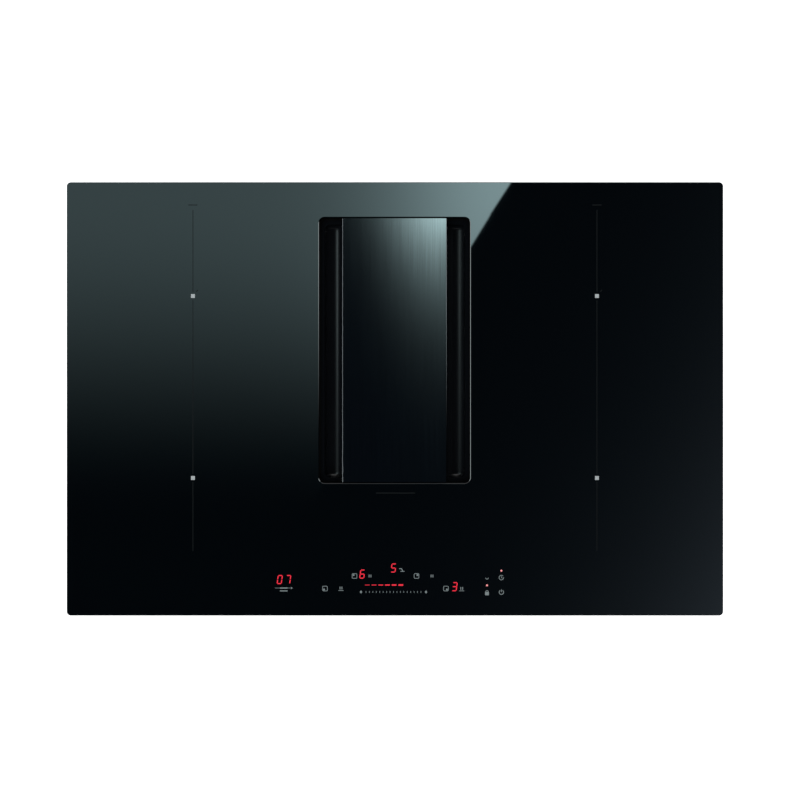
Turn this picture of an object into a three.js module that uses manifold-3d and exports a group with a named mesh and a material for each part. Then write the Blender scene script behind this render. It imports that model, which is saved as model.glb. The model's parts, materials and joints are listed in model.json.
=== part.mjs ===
// Downdraft induction cooktop: a 780 x 515 mm glass plate with an extractor in the middle.
//
// Frame: millimetres, X to the right, Y to the rear and Z up. The origin lies under the middle of
// the glass, on the plane that the fan housing stands on. The stack from that plane upwards is the
// fan housing, its gasket, the steel pan, the glass frame, the adhesive bead and the glass.

import * as THREE from 'three';
import { mergeVertices } from 'three/addons/utils/BufferGeometryUtils.js';
import Module from 'manifold-3d';

const wasm = await Module();
wasm.setup();

// ---------------------------------------------------------------- driving dimensions

// Glass plate and its opening
const glassWidth = 780;
const glassDepth = 515;
const glassThickness = 4;
const glassCorner = 5;
const glassChamfer = 0.75;
const openingWidth = 180;
const openingDepth = 316;
const openingCorner = 7;
const openingToRear = 41.75;

// Stack under the glass
const bondThickness = 1;
const frameThickness = 1.5;
const panDepth = 53.5;
const gasketThickness = 1.5;
const housingHeight = 158.5;

// Rings between the glass and what carries it
const frameWidth = 14;
const frontFrameWidth = 5;
const bondInset = 1.5;
const bondWidth = 3;
const sealInset = 3;
const sealWidth = 4.5;
const sealThickness = 3;

// Steel pan
const panInsetX = 18;
const panInsetY = 15.5;
const panCorner = 4;
const sheet = 1.25;
const shelfWidth = 34;
const shelfDrop = 28.5;
const grilleSlots = 6;
const grilleSlotWidth = 4;

// Intake well
const wellMargin = 1;
const wellWall = 2.5;
const wellCorner = 2;
const wellFlange = 9;
const wellFlangeThickness = 1.75;
const wellDepth = 92;
const wellLedge = 10;
const wellLedgeThickness = 2.5;
const panToWell = 1;

// Drip tray
const trayClearance = 0.75;
const trayLip = 3;
const trayLipThickness = 2;
const trayToWell = 0.75;
const trayDrop = 15;
const trayDepth = 16;
const trayWall = 2;
const trayCorner = 16;
const trayFillet = 12;
const curbHeight = 8;
const filterBayWidth = 100;
const filterBayDepth = 298;
const filterBayLedge = 4;

// Grease filter
const filterClearance = 0.5;
const filterHeight = 12;
const filterSideBar = 6;
const filterEndBar = 10;
const meshThickness = 7;
const meshClearance = 0.3;
const handleSpan = 60;
const handleWidth = 9;
const handleHeight = 11;
const handleStrap = 2.5;

// Cover
const coverWidth = 125;
const coverEndGap = 1;
const coverThickness = 1.5;
const coverCorner = 1.5;
const coverHem = 3;
const supportWidth = 84;
const supportDepth = 7;

// Odour filter
const odourHeight = 38;
const odourClearance = 1.5;
const odourWall = 3;
const odourBar = 8;
const blockClearance = 0.5;
const blockSlots = 6;
const blockSlotWidth = 5;

// Fan housing
const housingWall = 3;
const housingCorner = 8;
const housingFloor = 3;
const skirtHeight = 12;
const skirtWall = 5;
const housingFlange = 8;
const wellToHousing = 7.5;
const gasketWidth = 7;

// Drain in the housing's floor
const drainHole = 14;
const drainClearance = 0.5;
const capRadius = 22;
const capThickness = 5;
const capGrip = 4;
const capPlug = 5;
const drainSealThickness = 1;

// Blower
const housingToSide = 9;
const blowerToWell = 17.75;
const impellerHeight = 80;
const impellerLift = 3.5;
const impellerTopGap = 4;
const bladeCount = 20;
const bladeChord = 17;
const bladeThickness = 1.6;
const scrollTipGap = 9;
const scrollGrowth = 42;
const scrollWall = 2.5;
const tongueAngle = Math.PI / 3;
const scrollToHousing = 1.5;
const scrollToOutlet = 1;
const scrollToDrain = 30.7;
const inletToTip = 23;
const inletRim = 10;
const lidThickness = 2.5;
const motorRadius = 40;
const motorHeight = 36;
const shaftRadius = 4;
const shaftClearance = 0.4;
const hubRadius = 12;
const nutThickness = 5;
const nutRadius = 8;

// Outlet for a flat duct
const ductWidth = 222;
const ductHeight = 89;
const ductCorner = 6;
const spigotWall = 2.5;
const spigotLength = 24;
const spigotFlange = 6;
const spigotFlangeThickness = 2.5;
const ductLift = 16;

// Induction zones
const coilToRear = 28;
const coilToCoil = 32;
const coilBore = 28;
const coilTurns = 5;
const coilGap = 3;
const coilHeight = 6.5;
const micaThickness = 1;
const micaGap = 0.5;
const ferriteHeight = 2.5;
const ferriteWidth = 12;
const ferriteCount = 6;
const coilPlateThickness = 2;
const coilPlateMargin = 6;
const coilPlateBore = 22;
const coilPlateLeg = 8;

// Electronics in the pan
const boardToSide = 18;
const boardToWell = 26.5;
const boardDepth = 250;
const boardThickness = 1.6;
const boardLift = 5;
const boardToCooler = 35;
const postRadius = 3;
const postInset = 6;
const capacitorRadius = 13;
const capacitorHeight = 28;
const chokeRadius = 16;
const chokeHeight = 16;
const relayWidth = 20;
const relayDepth = 26;
const relayHeight = 15;
const sinkWidth = 56;
const sinkDepth = 210;
const sinkBase = 5;
const sinkHeight = 25;
const sinkFins = 8;
const sinkFinWidth = 2;
const coolerSize = 80;
const coolerHeight = 25;
const coolerToFront = 22;
const coolerWall = 2.5;
const coolerHub = 15;
const coolerBlades = 7;
const coolerGap = 1.5;
const coolerBaseThickness = 3;
const coolerPin = 2;

// Touch control behind the front edge
const touchX = -5;
const touchWidth = 296;
const touchDepth = 44;
const guideHeight = 8;
const guideWall = 2;
const touchBoardGap = 0.5;
const carrierWall = 2;
const touchToFrame = 1;

// Mains terminal box under the pan, rear left
const terminalToSide = 5;
const terminalToRear = 6;
const terminalWidth = 96;
const terminalDepth = 72;
const terminalHeight = 34;
const terminalWall = 2.5;
const terminalLidThickness = 2.5;
const cableRadius = 7;
const blockHeight = 16;
const blockLength = 62;
const blockDepth = 20;
const blockToWall = 4;
const saddleWall = 9;
const saddleDepth = 10;
const saddleGap = 2;
const hingeBarrel = 2.5;
const hingePin = 1.25;
const hingeEar = 4;
const hingeClearance = 0.5;

// Swivel clamps under the pan's side shelves
const clampToEnd = 92;
const clampLength = 40;
const clampWidth = 16;
const clampThickness = 3;
const clampPad = 5;
const clampGap = 0.25;
const screwRadius = 3;
const screwClearance = 0.5;
const screwHead = 5.5;
const screwHeadHeight = 4;
const screwBoss = 8;

// ---------------------------------------------------------------- levels and places that follow

const panBottom = housingHeight + gasketThickness;
const panTop = panBottom + panDepth;
const panFloor = panBottom + sheet;
const frameTop = panTop + frameThickness;
const glassBottom = frameTop + bondThickness;
const glassTop = glassBottom + glassThickness;

const panWidth = glassWidth - 2 * panInsetX;
const panLength = glassDepth - 2 * panInsetY;
const openingY = glassDepth / 2 - openingToRear - openingDepth / 2;
const shelfTop = panTop - shelfDrop;
const shelfBottom = shelfTop - sheet;
const deepHalfWidth = panWidth / 2 - shelfWidth;

const touchFront = -panLength / 2 + frontFrameWidth + touchToFrame;
const touchY = touchFront + touchDepth / 2;
const coilFront = touchFront + touchDepth + coilPlateMargin;
const coilRear = panLength / 2 - coilToRear;
const coilRadius = (coilRear - coilFront - coilToCoil) / 4;
const rearZoneY = coilRear - coilRadius;
const frontZoneY = coilFront + coilRadius;
const zoneX = deepHalfWidth - coilPlateMargin - coilRadius;

const wellWidth = openingWidth + 2 * wellMargin;
const wellLength = openingDepth + 2 * wellMargin;
const trayLipWidth = openingWidth - 2 * trayClearance;
const trayLipLength = openingDepth - 2 * trayClearance;
const trayWidth = trayLipWidth - 2 * trayLip;
const trayLength = trayLipLength - 2 * trayLip;
const trayTop = glassTop - trayDrop;
const trayLedge = trayTop - trayLipThickness;
const trayBottom = trayTop - trayDepth;
const trayFloor = trayBottom + trayWall;
const lowerWellWidth = trayWidth + 2 * trayToWell;
const lowerWellLength = trayLength + 2 * trayToWell;
const wellBottom = glassTop - wellDepth;
const wellFloor = wellBottom + wellLedgeThickness;
const wellFlangeBottom = panTop;
const wellGasketBottom = wellFlangeBottom + wellFlangeThickness;

const filterWidth = filterBayWidth - 2 * filterClearance;
const filterLength = filterBayDepth - 2 * filterClearance;
const filterTop = trayFloor + filterHeight;
const coverBottom = glassTop - coverThickness;
const coverLength = openingDepth - 2 * coverEndGap;

const housingRight = deepHalfWidth - housingToSide - housingFlange;
const scrollRight = housingRight - housingWall - scrollToHousing - scrollWall;
const scrollLeft = drainHole + scrollToDrain + scrollWall;
const leftGrowth = scrollGrowth * (Math.PI - tongueAngle) / (2 * Math.PI - tongueAngle);
const impellerRadius = (scrollRight - scrollLeft - scrollGrowth - leftGrowth) / 2 - scrollTipGap;
const inletRadius = impellerRadius - inletToTip;
const volutePoint = scrollTipGap + impellerRadius;
const voluteEnd = volutePoint + scrollGrowth;
const blowerX = scrollRight - voluteEnd;
const blowerY = openingY - blowerToWell;
const scrollBottom = skirtHeight + housingFloor;
const impellerBottom = scrollBottom + scrollWall + impellerLift;
const scrollTop = impellerBottom + impellerHeight + impellerTopGap;
const housingLeft = -(lowerWellWidth / 2 + wellWall + wellToHousing + housingWall);
const housingHalfLength = lowerWellLength / 2 + wellWall + wellToHousing + housingWall;
const housingFront = openingY - housingHalfLength;
const housingRear = openingY + housingHalfLength;
const housingWidth = housingRight - housingLeft;
const housingX = (housingLeft + housingRight) / 2;
const ductX = housingRight - housingCorner - spigotFlange - ductWidth / 2;
const ductZ = ductLift + ductHeight / 2;
const scrollMouth = housingRear - housingWall - scrollToOutlet;

const coilTop = glassBottom - micaGap - micaThickness;
const coilBottom = coilTop - coilHeight;
const coilPlateTop = coilBottom - ferriteHeight;
const coilPlateBottom = coilPlateTop - coilPlateThickness;

const guideBottom = glassBottom - guideHeight;
const touchBoardTop = guideBottom;
const touchBoardBottom = touchBoardTop - boardThickness;
const carrierBottom = touchBoardBottom - touchBoardGap - carrierWall;

const boardInner = wellWidth / 2 + wellWall + boardToWell;
const boardWidth = deepHalfWidth - boardToSide - boardInner;
const boardX = boardInner + boardWidth / 2;
const coolerY = -panLength / 2 + coolerToFront + coolerSize / 2;
const boardY = coolerY + coolerSize / 2 + boardToCooler + boardDepth / 2;

const terminalTop = panBottom;
const terminalX = -(deepHalfWidth - terminalToSide - terminalWidth / 2);
const terminalRear = panLength / 2 - terminalToRear;
const terminalBottom = terminalTop - terminalHeight;
const terminalY = terminalRear - terminalDepth / 2;

const clampX = panWidth / 2 - shelfWidth / 2;
const clampY = panLength / 2 - clampToEnd;
const clampTop = shelfBottom - clampGap;
const clampBottom = clampTop - clampPad - clampThickness;

// ---------------------------------------------------------------- shape helpers

const QUARTER = Math.PI / 2;
const OVERCUT = 1;

// A closed geometry becomes a solid once only its shared positions are left.
function solid(geometry) {
  const bare = geometry.clone();
  bare.deleteAttribute('normal');
  bare.deleteAttribute('uv');
  const merged = mergeVertices(bare, 1e-4);
  const vertProperties = new Float32Array(merged.attributes.position.array);
  const triVerts = new Uint32Array(merged.index.array);
  return new wasm.Manifold(new wasm.Mesh({ numProp: 3, vertProperties, triVerts }));
}

function geometryOf(body) {
  const mesh = body.getMesh();
  const geometry = new THREE.BufferGeometry();
  geometry.setAttribute('position', new THREE.BufferAttribute(new Float32Array(mesh.vertProperties), 3));
  geometry.setIndex(new THREE.BufferAttribute(new Uint32Array(mesh.triVerts), 1));
  geometry.computeVertexNormals();
  return geometry;
}

function join(...bodies) {
  return bodies.reduce((sum, body) => sum.add(body));
}

function cut(body, ...tools) {
  return tools.reduce((rest, tool) => rest.subtract(tool), body);
}

// A rectangle with round corners about (x, y).
function rectangle(width, depth, corner, x = 0, y = 0) {
  const left = x - width / 2 + corner;
  const right = x + width / 2 - corner;
  const front = y - depth / 2 + corner;
  const rear = y + depth / 2 - corner;
  const shape = new THREE.Shape();
  shape.moveTo(left, front - corner);
  shape.absarc(right, front, corner, -QUARTER, 0);
  shape.absarc(right, rear, corner, 0, QUARTER);
  shape.absarc(left, rear, corner, QUARTER, 2 * QUARTER);
  shape.absarc(left, front, corner, 2 * QUARTER, 3 * QUARTER);
  shape.closePath();
  return shape;
}

function extrude(shape, bottom, top, curveSegments = 1) {
  const options = { depth: top - bottom, bevelEnabled: false, curveSegments };
  return solid(new THREE.ExtrudeGeometry(shape, options).translate(0, 0, bottom));
}

// A block whose bottom edge is rounded to `fillet`; the matching round at its top is cut away.
function filletedBlock(width, depth, corner, fillet, y, bottom, top) {
  const options = {
    depth: top - bottom,
    bevelThickness: fillet,
    bevelSize: fillet,
    bevelOffset: -fillet,
    bevelSegments: 3,
    curveSegments: 2,
  };
  const shape = rectangle(width, depth, corner, 0, y);
  const rounded = solid(new THREE.ExtrudeGeometry(shape, options).translate(0, 0, bottom + fillet));
  return rounded.subtract(box(-width, width, y - depth, y + depth, top, top + 3 * fillet));
}

function box(x0, x1, y0, y1, z0, z1) {
  const geometry = new THREE.BoxGeometry(x1 - x0, y1 - y0, z1 - z0);
  return solid(geometry.translate((x0 + x1) / 2, (y0 + y1) / 2, (z0 + z1) / 2));
}

function cylinder(radius, bottom, top, x = 0, y = 0, sides = 16) {
  const geometry = new THREE.CylinderGeometry(radius, radius, top - bottom, sides);
  return solid(geometry.rotateX(QUARTER).translate(x, y, (bottom + top) / 2));
}

// A closed profile of [radius, height] points, turned about the Z axis.
function turned(profile, x = 0, y = 0, sides = 24) {
  const points = [...profile, profile[0]].map(([radius, height]) => new THREE.Vector2(radius, height));
  return solid(new THREE.LatheGeometry(points, sides).rotateX(QUARTER).translate(x, y, 0));
}

function polygon(points) {
  return new THREE.Shape(points.map(([x, y]) => new THREE.Vector2(x, y)));
}

function ring(outer, inner, bottom, top) {
  return extrude(outer, bottom, top).subtract(extrude(inner, bottom - OVERCUT, top + OVERCUT));
}

// The centres of `count` things spread evenly over `length` about zero.
function spread(count, length) {
  return Array.from({ length: count }, (_, index) => (index + 0.5) * length / count - length / 2);
}

// ---------------------------------------------------------------- finishes

function finish(color, roughness, metalness) {
  return { color, roughness, metalness };
}

const blackGlass = finish(0x050607, 0.05, 0);
const brushedCover = finish(0x2b2e30, 0.35, 0.9);
const blackPlastic = finish(0x121314, 0.55, 0);
const softBlack = finish(0x0b0b0c, 0.8, 0);
const galvanised = finish(0x9ea3a6, 0.45, 0.9);
const aluminium = finish(0xb9bcbe, 0.4, 0.95);
const copper = finish(0x8c4a2a, 0.5, 0.8);
const mica = finish(0xb8a888, 0.7, 0);
const circuitGreen = finish(0x1f5a36, 0.6, 0);
const ferriteGrey = finish(0x3a3b3d, 0.6, 0.1);
const charcoal = finish(0x1b1b1b, 0.95, 0);
const whitePlastic = finish(0xd9d9d4, 0.5, 0);
const zincScrew = finish(0xb4b6b8, 0.35, 1);
const steel = finish(0x7d8184, 0.3, 1);

// ---------------------------------------------------------------- glass group

function openingShape(width, depth, corner) {
  return rectangle(width, depth, corner, 0, openingY);
}

function makeGlass() {
  const shape = rectangle(glassWidth, glassDepth, glassCorner);
  shape.holes.push(openingShape(openingWidth, openingDepth, openingCorner));
  const options = {
    depth: glassThickness - 2 * glassChamfer,
    bevelThickness: glassChamfer,
    bevelSize: glassChamfer,
    bevelOffset: -glassChamfer,
    bevelSegments: 1,
    curveSegments: 3,
  };
  return solid(new THREE.ExtrudeGeometry(shape, options).translate(0, 0, glassBottom + glassChamfer));
}

// A ring `inset` inside the pan's outline and `width` wide, narrower along the touch control.
function rimRing(inset, width, frontWidth, bottom, top) {
  const outer = rectangle(panWidth - 2 * inset, panLength - 2 * inset, panCorner);
  const innerWidth = panWidth - 2 * inset - 2 * width;
  const innerLength = panLength - 2 * inset - 2 * width;
  const relief = box(
    touchX - touchWidth / 2 - touchToFrame,
    touchX + touchWidth / 2 + touchToFrame,
    -panLength / 2 + inset + frontWidth,
    0,
    bottom - OVERCUT,
    top + OVERCUT,
  );
  return ring(outer, rectangle(innerWidth, innerLength, panCorner), bottom, top).subtract(relief);
}

function makeGlassFrame() {
  return rimRing(0, frameWidth, frontFrameWidth, panTop, frameTop);
}

function makeGlassBond() {
  return rimRing(bondInset, bondWidth, bondWidth, frameTop, glassBottom);
}

function makeWorktopSeal() {
  const outerWidth = glassWidth - 2 * sealInset;
  const outerDepth = glassDepth - 2 * sealInset;
  const outer = rectangle(outerWidth, outerDepth, glassCorner);
  const inner = rectangle(outerWidth - 2 * sealWidth, outerDepth - 2 * sealWidth, glassCorner - 1);
  return ring(outer, inner, glassBottom - sealThickness, glassBottom);
}

// ---------------------------------------------------------------- steel pan

function panOutline(inset, bottom, top) {
  const width = panWidth - 2 * inset;
  const deepWidth = 2 * deepHalfWidth - 2 * inset;
  const length = panLength - 2 * inset;
  const shelf = bottom - panBottom + shelfBottom;
  return join(
    extrude(rectangle(width, length, panCorner), shelf, top),
    extrude(rectangle(deepWidth, length, panCorner), bottom, top),
  );
}

// Slots through the pan's floor under a cooling fan.
function coolerGrille(x) {
  const reach = coolerSize / 2 - 2 * coolerWall;
  const slots = spread(grilleSlots, 2 * reach).map((offset) => {
    const half = Math.sqrt(reach * reach - offset * offset);
    const left = x + offset - grilleSlotWidth / 2;
    return box(left, left + grilleSlotWidth, coolerY - half, coolerY + half, panBottom - 1, panFloor + 1);
  });
  return join(...slots);
}

function boardPosts(x) {
  const posts = [-1, 1].flatMap((sideX) => [-1, 1].map((sideY) => {
    const postX = x + sideX * (boardWidth / 2 - postInset);
    const postY = boardY + sideY * (boardDepth / 2 - postInset);
    return cylinder(postRadius, panBottom, panFloor + boardLift, postX, postY, 6);
  }));
  return join(...posts);
}

function clampPlaces() {
  return [
    ['rear_right', 1, 1],
    ['front_right', 1, -1],
    ['rear_left', -1, 1],
    ['front_left', -1, -1],
  ];
}

function makePan() {
  const shell = panOutline(0, panBottom, panTop).subtract(panOutline(sheet, panFloor, panTop + OVERCUT));
  const bosses = clampPlaces().map(([, sideX, sideY]) => (
    cylinder(screwBoss, shelfBottom, shelfTop + screwBoss, sideX * clampX, sideY * clampY, 12)
  ));
  const body = join(shell, ...bosses, boardPosts(boardX), boardPosts(-boardX));
  const bores = clampPlaces().map(([, sideX, sideY]) => (
    cylinder(
      screwRadius + screwClearance,
      shelfBottom - OVERCUT,
      shelfTop + 2 * screwBoss,
      sideX * clampX,
      sideY * clampY,
      12,
    )
  ));
  const wellOutline = openingShape(
    lowerWellWidth + 2 * (wellWall + panToWell),
    lowerWellLength + 2 * (wellWall + panToWell),
    wellCorner + wellWall + panToWell,
  );
  const wellHole = extrude(wellOutline, panBottom - OVERCUT, panFloor + OVERCUT);
  const wireHole = cylinder(cableRadius, panBottom - OVERCUT, panFloor + OVERCUT, terminalX, terminalY, 16);
  return cut(body, ...bores, wellHole, wireHole, coolerGrille(zoneX), coolerGrille(-zoneX));
}

// ---------------------------------------------------------------- intake well and what lifts out

function makeWellGasket() {
  const outer = openingShape(wellWidth + 2 * wellFlange, wellLength + 2 * wellFlange, wellCorner + wellFlange);
  const inner = openingShape(wellWidth, wellLength, wellCorner);
  return ring(outer, inner, wellGasketBottom, glassBottom);
}

function makeWell() {
  const grow = 2 * wellWall;
  const shoulder = trayLedge - wellWall;
  const outside = join(
    extrude(
      openingShape(wellWidth + 2 * wellFlange, wellLength + 2 * wellFlange, wellCorner + wellFlange),
      wellFlangeBottom,
      wellGasketBottom,
    ),
    extrude(
      openingShape(wellWidth + grow, wellLength + grow, wellCorner + wellWall),
      shoulder,
      wellFlangeBottom + wellFlangeThickness / 2,
    ),
    extrude(
      openingShape(lowerWellWidth + grow, lowerWellLength + grow, wellCorner + wellWall),
      wellBottom,
      shoulder + OVERCUT,
    ),
  );
  return cut(
    outside,
    extrude(openingShape(wellWidth, wellLength, wellCorner), trayLedge, glassBottom),
    extrude(openingShape(lowerWellWidth, lowerWellLength, wellCorner), wellFloor, trayLedge + OVERCUT),
    extrude(
      openingShape(lowerWellWidth - 2 * wellLedge, lowerWellLength - 2 * wellLedge, wellCorner),
      wellBottom - OVERCUT,
      wellFloor + OVERCUT,
    ),
  );
}

function makeDripTray() {
  const body = filletedBlock(trayWidth, trayLength, trayCorner, trayFillet, openingY, trayBottom, trayTop);
  const lip = extrude(openingShape(trayLipWidth, trayLipLength, openingCorner - trayClearance), trayLedge, trayTop);
  const hollow = filletedBlock(
    trayWidth - 2 * trayWall,
    trayLength - 2 * trayWall,
    trayCorner - trayWall,
    trayFillet - trayWall,
    openingY,
    trayFloor,
    trayTop + OVERCUT,
  );
  const curb = extrude(
    openingShape(filterBayWidth + 2 * trayWall, filterBayDepth + 2 * trayWall, 2 * trayWall),
    trayFloor - trayWall / 2,
    trayFloor + curbHeight,
  );
  const shell = join(body, lip).subtract(hollow).add(curb);
  const bay = openingShape(filterBayWidth, filterBayDepth, trayWall);
  const passage = openingShape(filterBayWidth - 2 * filterBayLedge, filterBayDepth - 2 * filterBayLedge, trayWall);
  return cut(
    shell,
    extrude(bay, trayFloor, trayTop + OVERCUT),
    extrude(passage, trayBottom - OVERCUT, trayFloor + OVERCUT),
  );
}

function meshPocket(clearance) {
  return {
    width: filterWidth - 2 * filterSideBar + 6 - 2 * clearance,
    length: filterLength - 2 * filterEndBar + 6 - 2 * clearance,
  };
}

function makeGreaseFrame() {
  const pocket = meshPocket(0);
  const meshBottom = trayFloor + (filterHeight - meshThickness) / 2;
  const body = extrude(openingShape(filterWidth, filterLength, trayWall), trayFloor, filterTop);
  const windowShape = openingShape(filterWidth - 2 * filterSideBar, filterLength - 2 * filterEndBar, trayWall);
  const bars = spread(5, filterLength - 2 * filterEndBar).slice(1).map((offset) => {
    const y = openingY + offset - (filterLength - 2 * filterEndBar) / 10;
    return box(-filterWidth / 2 + 2, filterWidth / 2 - 2, y - 1.5, y + 1.5, trayFloor, meshBottom);
  });
  return cut(
    body,
    extrude(windowShape, trayFloor - OVERCUT, filterTop + OVERCUT),
    extrude(openingShape(pocket.width, pocket.length, trayWall), meshBottom, meshBottom + meshThickness),
  ).add(join(...bars));
}

function makeGreaseMesh() {
  const pocket = meshPocket(meshClearance);
  const meshBottom = trayFloor + (filterHeight - meshThickness) / 2;
  const outline = openingShape(pocket.width, pocket.length, trayWall);
  return extrude(outline, meshBottom + meshClearance, meshBottom + meshThickness - meshClearance);
}

// A strap over the mesh with its feet on the frame's long bars.
function makeFilterHandle() {
  const outer = filterWidth / 2;
  const inner = outer - filterSideBar;
  const low = filterTop + handleStrap;
  const foot = (side) => [[side * outer, filterTop], [side * inner, filterTop]];
  const profile = polygon([
    ...foot(-1),
    [-inner, low - 1],
    [-handleSpan / 2, filterTop + handleHeight - handleStrap],
    [handleSpan / 2, filterTop + handleHeight - handleStrap],
    [inner, low - 1],
    ...foot(1).reverse(),
    [outer, low],
    [handleSpan / 2, filterTop + handleHeight],
    [-handleSpan / 2, filterTop + handleHeight],
    [-outer, low],
  ]);
  const options = { depth: handleWidth, bevelEnabled: false };
  const strap = new THREE.ExtrudeGeometry(profile, options).rotateX(QUARTER);
  return solid(strap.translate(0, openingY + handleWidth / 2, 0));
}

function makeCover() {
  const plate = extrude(openingShape(coverWidth, coverLength, coverCorner), coverBottom, glassTop);
  const hems = [-1, 1].map((side) => {
    const outer = side * coverWidth / 2;
    const inner = outer - side * coverThickness;
    return box(
      Math.min(outer, inner),
      Math.max(outer, inner),
      openingY - coverLength / 2 + coverCorner,
      openingY + coverLength / 2 - coverCorner,
      glassTop - coverHem,
      glassTop - coverThickness / 2,
    );
  });
  return join(plate, ...hems);
}

// A block glued under the cover that stands on the end bar of the grease filter.
function makeCoverSupport(side) {
  const middle = openingY + side * (filterLength / 2 - filterEndBar / 2);
  const half = supportDepth / 2;
  return box(-supportWidth / 2, supportWidth / 2, middle - half, middle + half, filterTop, coverBottom);
}

function odourBay(side, clearance) {
  const width = lowerWellWidth - 2 * (odourClearance + odourWall + clearance);
  const length = lowerWellLength / 2 - odourClearance - odourWall - odourBar / 2 - 2 * clearance;
  const y = openingY + side * (odourBar / 2 + clearance + length / 2);
  return rectangle(width, length, odourWall, 0, y);
}

function makeOdourFrame() {
  const width = lowerWellWidth - 2 * odourClearance;
  const length = lowerWellLength - 2 * odourClearance;
  const top = wellFloor + odourHeight;
  const body = extrude(openingShape(width, length, trayCorner - odourClearance), wellFloor, top);
  const grate = [-1, 1].flatMap((side) => spread(4, width).map((x) => (
    box(x - 1.5, x + 1.5, openingY + Math.min(0, side * length / 2), openingY + Math.max(0, side * length / 2),
      wellFloor, wellFloor + odourWall)
  )));
  const shell = cut(
    body,
    extrude(odourBay(-1, 0), wellFloor - OVERCUT, top + OVERCUT),
    extrude(odourBay(1, 0), wellFloor - OVERCUT, top + OVERCUT),
  );
  return join(shell, ...grate.map((bar) => bar.intersect(body)));
}

function makeOdourBlock(side) {
  const bottom = wellFloor + odourWall;
  const top = wellFloor + odourHeight - odourWall;
  const width = lowerWellWidth - 2 * (odourClearance + odourWall + blockClearance);
  const length = lowerWellLength / 2 - odourClearance - odourWall - odourBar / 2 - 2 * blockClearance;
  const start = odourBar / 2 + blockClearance;
  const low = openingY + (side > 0 ? start : -start - length);
  const slots = spread(blockSlots, width).map((x) => (
    box(x - blockSlotWidth / 2, x + blockSlotWidth / 2, low + 8, low + length - 8, bottom - 1, top + 1)
  ));
  return cut(extrude(odourBay(side, blockClearance), bottom, top), ...slots);
}

// ---------------------------------------------------------------- fan housing

function housingOutline(grow) {
  return rectangle(
    housingWidth + 2 * grow,
    2 * (housingHalfLength + grow),
    Math.max(housingCorner + grow, 1),
    housingX,
    openingY,
  );
}

function makeHousing() {
  const body = join(
    extrude(housingOutline(0), 0, housingHeight),
    extrude(housingOutline(housingFlange), housingHeight - housingWall, housingHeight),
  );
  const hollow = extrude(housingOutline(-housingWall), scrollBottom, housingHeight + OVERCUT);
  const underside = extrude(housingOutline(-skirtWall), -OVERCUT, skirtHeight);
  const mouth = rectangle(ductWidth - 2 * spigotWall, ductHeight - 2 * spigotWall, ductCorner, ductX, ductZ);
  const windowDepth = 4 * housingWall;
  const window = new THREE.ExtrudeGeometry(mouth, { depth: windowDepth, bevelEnabled: false, curveSegments: 2 });
  return cut(
    body,
    hollow,
    underside,
    cylinder(drainHole, -OVERCUT, scrollBottom + OVERCUT, 0, openingY),
    solid(window.rotateX(QUARTER).translate(0, housingRear + windowDepth / 2, 0)),
  );
}

function makeHousingGasket() {
  return ring(
    housingOutline(housingFlange - 1),
    housingOutline(housingFlange - 1 - gasketWidth),
    housingHeight,
    panBottom,
  );
}

function makeDrainCap() {
  const top = skirtHeight - drainSealThickness;
  const bottom = top - capThickness;
  const plug = drainHole - drainClearance;
  const body = turned(
    [[0, bottom], [capRadius - 1, bottom], [capRadius, bottom + 1], [capRadius, top], [plug, top],
      [plug, scrollBottom + capPlug], [0, scrollBottom + capPlug]],
    0,
    openingY,
    24,
  );
  return body.add(box(-capRadius + 3, capRadius - 3, openingY - 3, openingY + 3, bottom - capGrip, bottom + 1));
}

function makeDrainSeal() {
  const outer = cylinder(capRadius - 1, skirtHeight - drainSealThickness, skirtHeight, 0, openingY);
  return outer.subtract(cylinder(drainHole, 0, scrollBottom, 0, openingY));
}

// A tube with a flat flange, standing out of the housing's rear wall.
function makeSpigot() {
  const along = (width, height, corner, start, end) => {
    const shape = rectangle(width, height, corner, ductX, ductZ);
    const options = { depth: end - start, bevelEnabled: false, curveSegments: 2 };
    return solid(new THREE.ExtrudeGeometry(shape, options).rotateX(QUARTER).translate(0, end, 0));
  };
  const flangeEnd = housingRear + spigotFlangeThickness;
  const tubeEnd = flangeEnd + spigotLength;
  const flangeWidth = ductWidth + 2 * spigotFlange;
  const flangeHeight = ductHeight + 2 * spigotFlange;
  return cut(
    join(
      along(flangeWidth, flangeHeight, ductCorner + spigotFlange, housingRear, flangeEnd),
      along(ductWidth, ductHeight, ductCorner, housingRear, tubeEnd),
    ),
    along(
      ductWidth - 2 * spigotWall,
      ductHeight - 2 * spigotWall,
      ductCorner - spigotWall / 2,
      housingRear - OVERCUT,
      tubeEnd + OVERCUT,
    ),
  );
}

// ---------------------------------------------------------------- blower

// Points of the volute, whose radius grows evenly from the tongue to the outlet side.
function volutePoints(grow, steps) {
  const sweep = 2 * Math.PI - tongueAngle;
  return Array.from({ length: steps + 1 }, (_, index) => {
    const share = index / steps;
    const angle = tongueAngle + share * sweep;
    const radius = volutePoint + grow + share * scrollGrowth;
    return [blowerX + radius * Math.cos(angle), blowerY + radius * Math.sin(angle)];
  });
}

const VOLUTE_STEPS = 20;
const ductRight = ductX + ductWidth / 2 - spigotWall;
const ductLeft = ductX - ductWidth / 2 + spigotWall;

function scrollInside(bottom, top) {
  const outline = [...volutePoints(0, VOLUTE_STEPS), [ductRight, scrollMouth + OVERCUT], [ductLeft, scrollMouth + OVERCUT]];
  return extrude(polygon(outline), bottom, top);
}

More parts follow.
